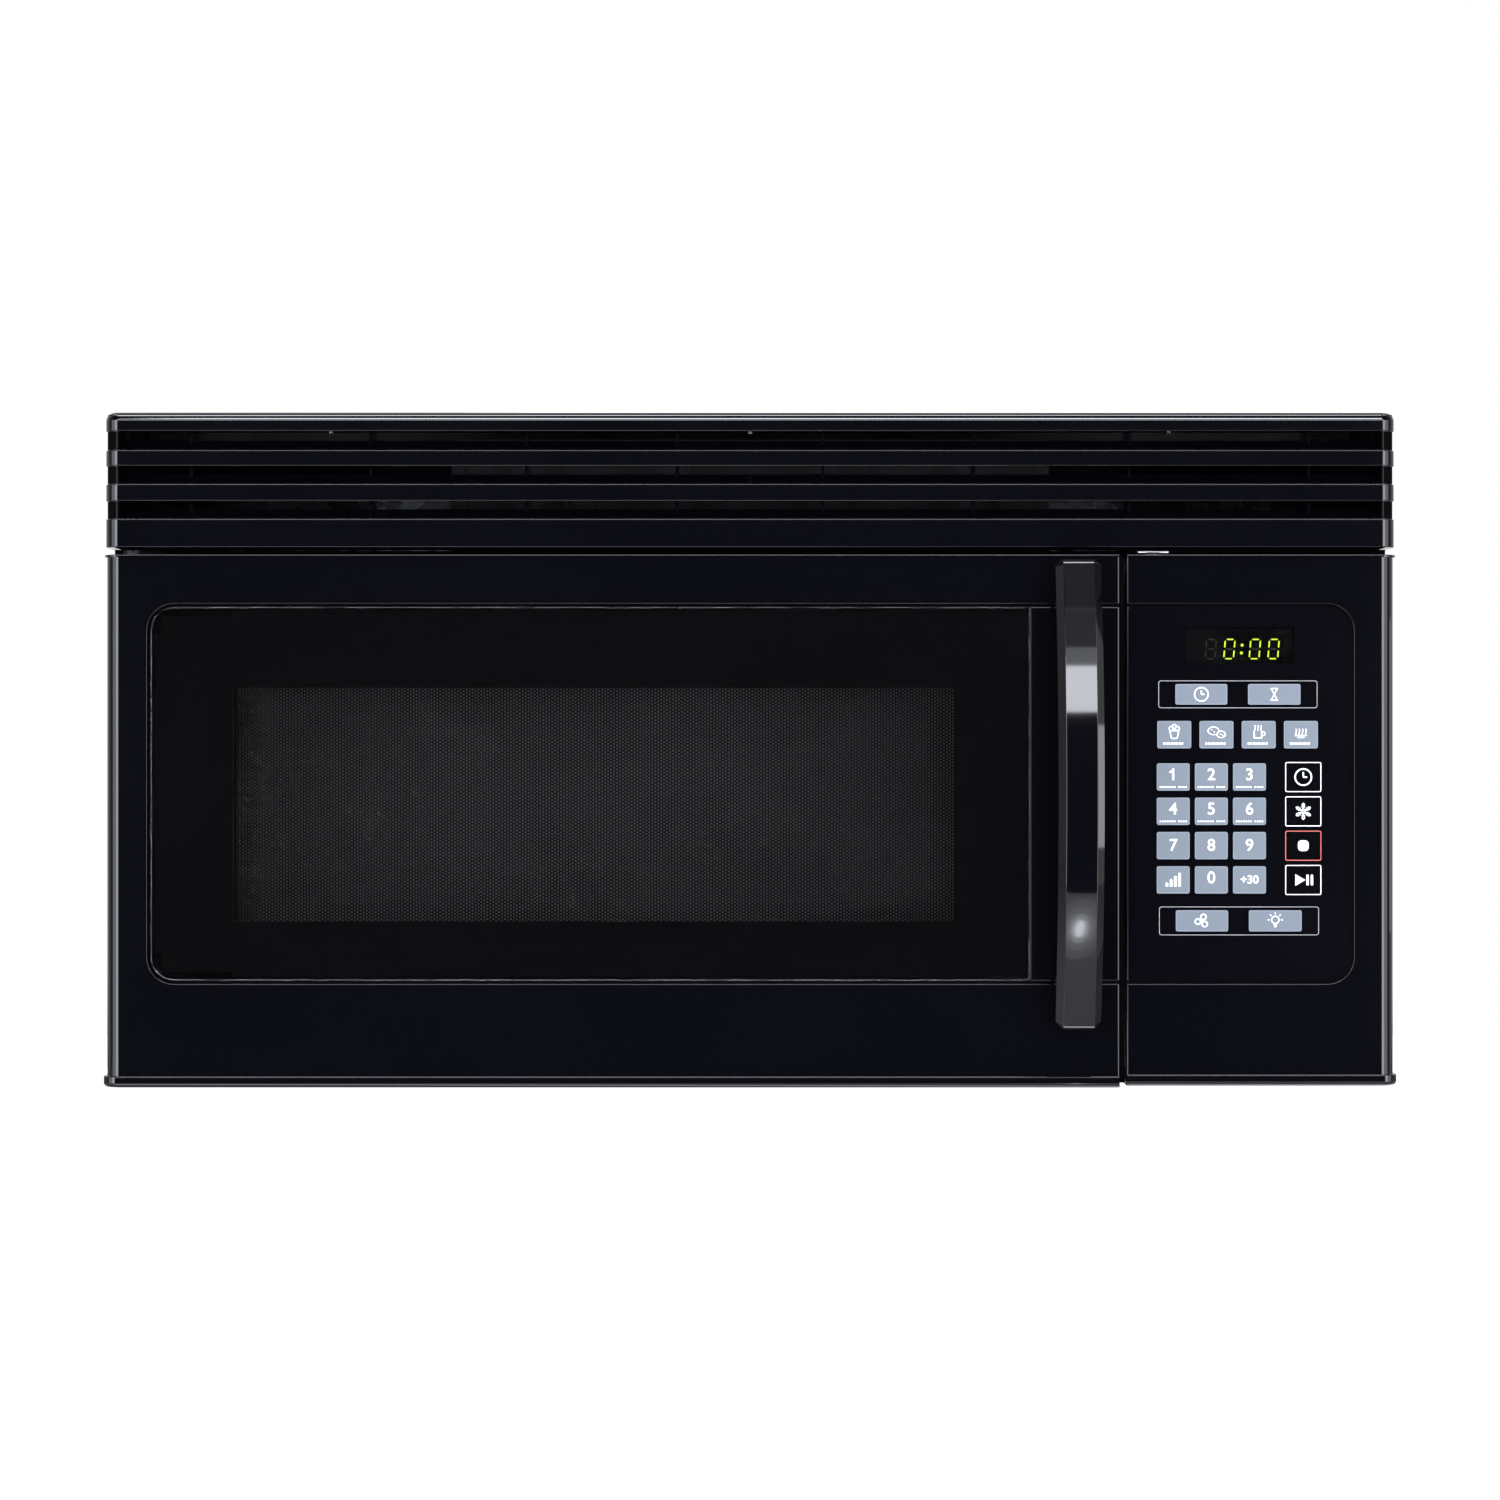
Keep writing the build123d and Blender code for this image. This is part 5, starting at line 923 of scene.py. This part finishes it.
def display():
    """Black face behind the lens, with three lit noughts, their colon and the dark segments."""
    low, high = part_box("display_window")
    rim = 0.3 * MM
    face = block(low.x + rim, high.x - rim, LENS_BACK + 0.5 * MM, LENS_BACK + 0.65 * MM,
                 low.z + rim, high.z - rim)
    dressed(joined("display_face", [face]), DISPLAY_BLACK, "chassis")
    lit, unlit = [], []
    for number, x in enumerate(DIGIT_PLACES):
        (lit if number else unlit).extend(nought(x))
        unlit.append(middle_segment(x))
    y = LENS_BACK + 0.35 * MM
    for name, strokes, material in (("lit_segments", lit, LIT), ("unlit_segments", unlit, UNLIT)):
        parts = [bar(x * MM, y, (DIGIT_LEVEL + z) * MM, length * MM, SEGMENT * MM, turn)
                 for x, z, length, turn in strokes]
        if name == "lit_segments":
            parts += [dot((COLON + level * COLON_LEAN) * MM, y, (DIGIT_LEVEL + level * COLON_REACH) * MM,
                          COLON_DOT * MM) for level in (-1, 1)]
        dressed(joined(name, parts), material, "chassis")


# ---------------------------------------------------------------- underside

def filter_mesh(side, body):
    """Expanded aluminium mesh in the frame of one grease filter."""
    low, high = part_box("grease_filter_left" if side < 0 else "grease_filter_right")
    x_low, x_high = low.x + MESH_MARGIN, high.x - MESH_MARGIN
    y_low, y_high = low.y + MESH_MARGIN, high.y - MESH_MARGIN
    middle = ((x_low + x_high) / 2, (y_low + y_high) / 2, low.z + MESH_LEVEL)
    bpy.ops.object.select_all(action="DESELECT")
    bpy.ops.mesh.primitive_grid_add(
        x_subdivisions=MESH_CELLS, y_subdivisions=MESH_CELLS, size=(y_high - y_low) * MESH_REACH,
        location=middle, rotation=(0, 0, math.pi / 4))
    piece = settle(bpy.context.object)
    for point, normal in (((x_low, 0, 0), (-1, 0, 0)), ((x_high, 0, 0), (1, 0, 0)),
                          ((0, y_low, 0), (0, -1, 0)), ((0, y_high, 0), (0, 1, 0))):
        pick_faces(piece, lambda face: True)
        bpy.ops.mesh.bisect(plane_co=point, plane_no=normal, clear_outer=True)
        bpy.ops.object.mode_set(mode="OBJECT")
    wire = piece.modifiers.new("strands", "WIREFRAME")
    wire.thickness = MESH_STRAND
    pick(piece)
    bpy.ops.object.modifier_apply(modifier=wire.name)
    piece.name = "filter_mesh_left" if side < 0 else "filter_mesh_right"
    dressed(piece, FINISHES["filter_aluminium"], body)


# ---------------------------------------------------------------- stage

def floor():
    """Pale surface below the appliance, whiter for the camera away from the object."""
    bpy.ops.object.select_all(action="DESELECT")
    bpy.ops.mesh.primitive_plane_add(size=1, location=(0, 1.2, -MOUNT_HEIGHT))
    piece = bpy.context.object
    piece.scale = (9, 7, 1)
    settle(piece)
    piece.name = "floor"
    material = bpy.data.materials.new("pale_floor")
    material.use_nodes = True
    nodes, links = material.node_tree.nodes, material.node_tree.links
    nodes.clear()
    output = nodes.new("ShaderNodeOutputMaterial")
    matt = nodes.new("ShaderNodeBsdfDiffuse")
    matt.inputs["Color"].default_value = (0.5, 0.5, 0.5, 1)
    glow = nodes.new("ShaderNodeEmission")
    place = nodes.new("ShaderNodeTexCoord")
    far = nodes.new("ShaderNodeVectorMath")
    far.operation = "LENGTH"
    fade = nodes.new("ShaderNodeMapRange")
    fade.inputs["From Min"].default_value = 0.6
    fade.inputs["From Max"].default_value = 2.0
    fade.inputs["To Min"].default_value = 0.75
    fade.inputs["To Max"].default_value = 1.0
    both = nodes.new("ShaderNodeAddShader")
    seen = nodes.new("ShaderNodeLightPath")
    mixed = nodes.new("ShaderNodeMixShader")
    links.new(place.outputs["Object"], far.inputs[0])
    links.new(far.outputs["Value"], fade.inputs["Value"])
    links.new(fade.outputs["Result"], glow.inputs["Strength"])
    links.new(matt.outputs["BSDF"], both.inputs[0])
    links.new(glow.outputs["Emission"], both.inputs[1])
    links.new(seen.outputs["Is Camera Ray"], mixed.inputs["Fac"])
    links.new(matt.outputs["BSDF"], mixed.inputs[1])
    links.new(both.outputs["Shader"], mixed.inputs[2])
    links.new(mixed.outputs["Shader"], output.inputs["Surface"])
    piece.data.materials.append(material)


def room():
    """White behind the object, dim towards the camera's side, as in a studio."""
    world = bpy.data.worlds.new("studio")
    bpy.context.scene.world = world
    world.use_nodes = True
    nodes, links = world.node_tree.nodes, world.node_tree.links
    nodes.clear()
    output = nodes.new("ShaderNodeOutputWorld")
    white = nodes.new("ShaderNodeBackground")
    white.inputs["Color"].default_value = (1, 1, 1, 1)
    around = nodes.new("ShaderNodeBackground")
    place = nodes.new("ShaderNodeTexCoord")
    split = nodes.new("ShaderNodeSeparateXYZ")
    fade = nodes.new("ShaderNodeMapRange")
    fade.inputs["From Min"].default_value = -0.45
    fade.inputs["From Max"].default_value = 0.3
    fade.inputs["To Min"].default_value = 0.02
    fade.inputs["To Max"].default_value = 1.1
    seen = nodes.new("ShaderNodeLightPath")
    mixed = nodes.new("ShaderNodeMixShader")
    links.new(place.outputs["Generated"], split.inputs[0])
    links.new(split.outputs["Y"], fade.inputs["Value"])
    links.new(fade.outputs["Result"], around.inputs["Strength"])
    links.new(seen.outputs["Is Camera Ray"], mixed.inputs["Fac"])
    links.new(around.outputs["Background"], mixed.inputs[1])
    links.new(white.outputs["Background"], mixed.inputs[2])
    links.new(mixed.outputs["Shader"], output.inputs["Surface"])


LAMP_TINT = (0.90, 0.93, 1.0)
OVEN_TINT = (0.87, 0.92, 1.0)


def softbox(name, place, aim, width, height, radiance):
    """Rectangular lamp that faces a point; the camera doesn't see it."""
    lamp = bpy.data.lights.new(name, "AREA")
    lamp.shape = "RECTANGLE"
    lamp.size, lamp.size_y = width, height
    lamp.energy = radiance * math.pi * width * height
    lamp.color = LAMP_TINT
    holder = bpy.data.objects.new(name, lamp)
    bpy.context.collection.objects.link(holder)
    holder.location = place
    holder.rotation_euler = (Vector(aim) - Vector(place)).to_track_quat("-Z", "Y").to_euler()
    holder.visible_camera = False
    return holder


def spot(name, place, aim, width, height, radiance):
    """Small oval lamp, taller than wide because the handle's bow squeezes it."""
    softbox(name, place, aim, width, height, radiance).data.shape = "ELLIPSE"


def lights():
    """Strip boxes for the front's lines and the handle, and one lamp each behind and in the oven."""
    softbox("front_high", (0.15, -4.71, 1.40), (0.15, -0.21, 0.225), 5.6, 0.57, 15.0)
    softbox("front_fade", (0.15, -2.45, 1.03), (0.15, -0.17, 0.2), 2.8, 0.13, 2.5)
    softbox("front_above", (0.15, -2.45, 1.24), (0.15, -0.17, 0.2), 2.8, 0.28, 0.55)
    softbox("front_ceiling", (0.2, -1.8, 1.75), (0.1, -0.17, 0.2), 2.0, 1.3, 0.35)
    softbox("top_line", (0.1, -0.75, 2.6), (0.0, -0.17, 0.39), 2.2, 0.4, 22.0)
    softbox("low_line", (0.1, -0.30, -0.43), (0.0, -0.17, 0.2), 1.8, 0.12, 7.0)
    for name, width, height, radiance in (("spot_core", 0.009, 0.06, 12.0), ("spot_inner", 0.018, 0.10, 3.5),
                                          ("spot_glow", 0.03, 0.15, 1.2), ("spot_halo", 0.045, 0.21, 0.6)):
        spot(name, (0.315, -1.235, -0.286), (0.1945, -0.21, 0.096), width, height, radiance)
    for name, side in (("left", -1), ("right", 1)):
        softbox(name + "_front", (side * 1.336, -2.39, 0.25), (side * 0.371, -0.17, 0.2), 0.81, 1.7, 8.0)
        softbox(name + "_side", (side * 1.93, -1.576, 0.3), (side * 0.371, -0.17, 0.2), 1.05, 1.7, 3.0)
    softbox("right_back", (1.95, -0.01, 0.17), (0.2, -0.2, 0.17), 0.25, 0.35, 3.5)
    softbox("behind", (0.4, 2.2, 1.3), (0, 0.2, 0.2), 1.6, 1.2, 2.5)
    oven = softbox("oven_light", (-0.185, 0.105, 0.166), (-0.185, 0.19, 0.166), 0.40, 0.025, 0.34)
    oven.data.color = OVEN_TINT
    oven.visible_glossy = False
    oven.visible_transmission = False


def camera():
    """Straight on, at the picture's distance, framed as the picture is."""
    lens = bpy.data.cameras.new("camera")
    lens.sensor_width = SENSOR_WIDTH
    lens.lens = SENSOR_WIDTH / 2 * CAMERA_DISTANCE / (PICTURE_HALF * PHOTO_SCALE)
    holder = bpy.data.objects.new("camera", lens)
    bpy.context.collection.objects.link(holder)
    holder.location = (0, DOOR_FACE - CAMERA_DISTANCE, PICTURE_MIDDLE)
    holder.rotation_euler = UPRIGHT
    bpy.context.scene.camera = holder


bpy.context.scene.view_settings.view_transform = "Standard"
camera()
dress_nodes()
screen()
window_print()
latch_coil()
grille_rail()
slot_ends()
gap_shade_fillers()
gap_clips()
keypad()
display()
filter_mesh(-1, "filter_left")
filter_mesh(1, "filter_right")
floor()
room()
lights()
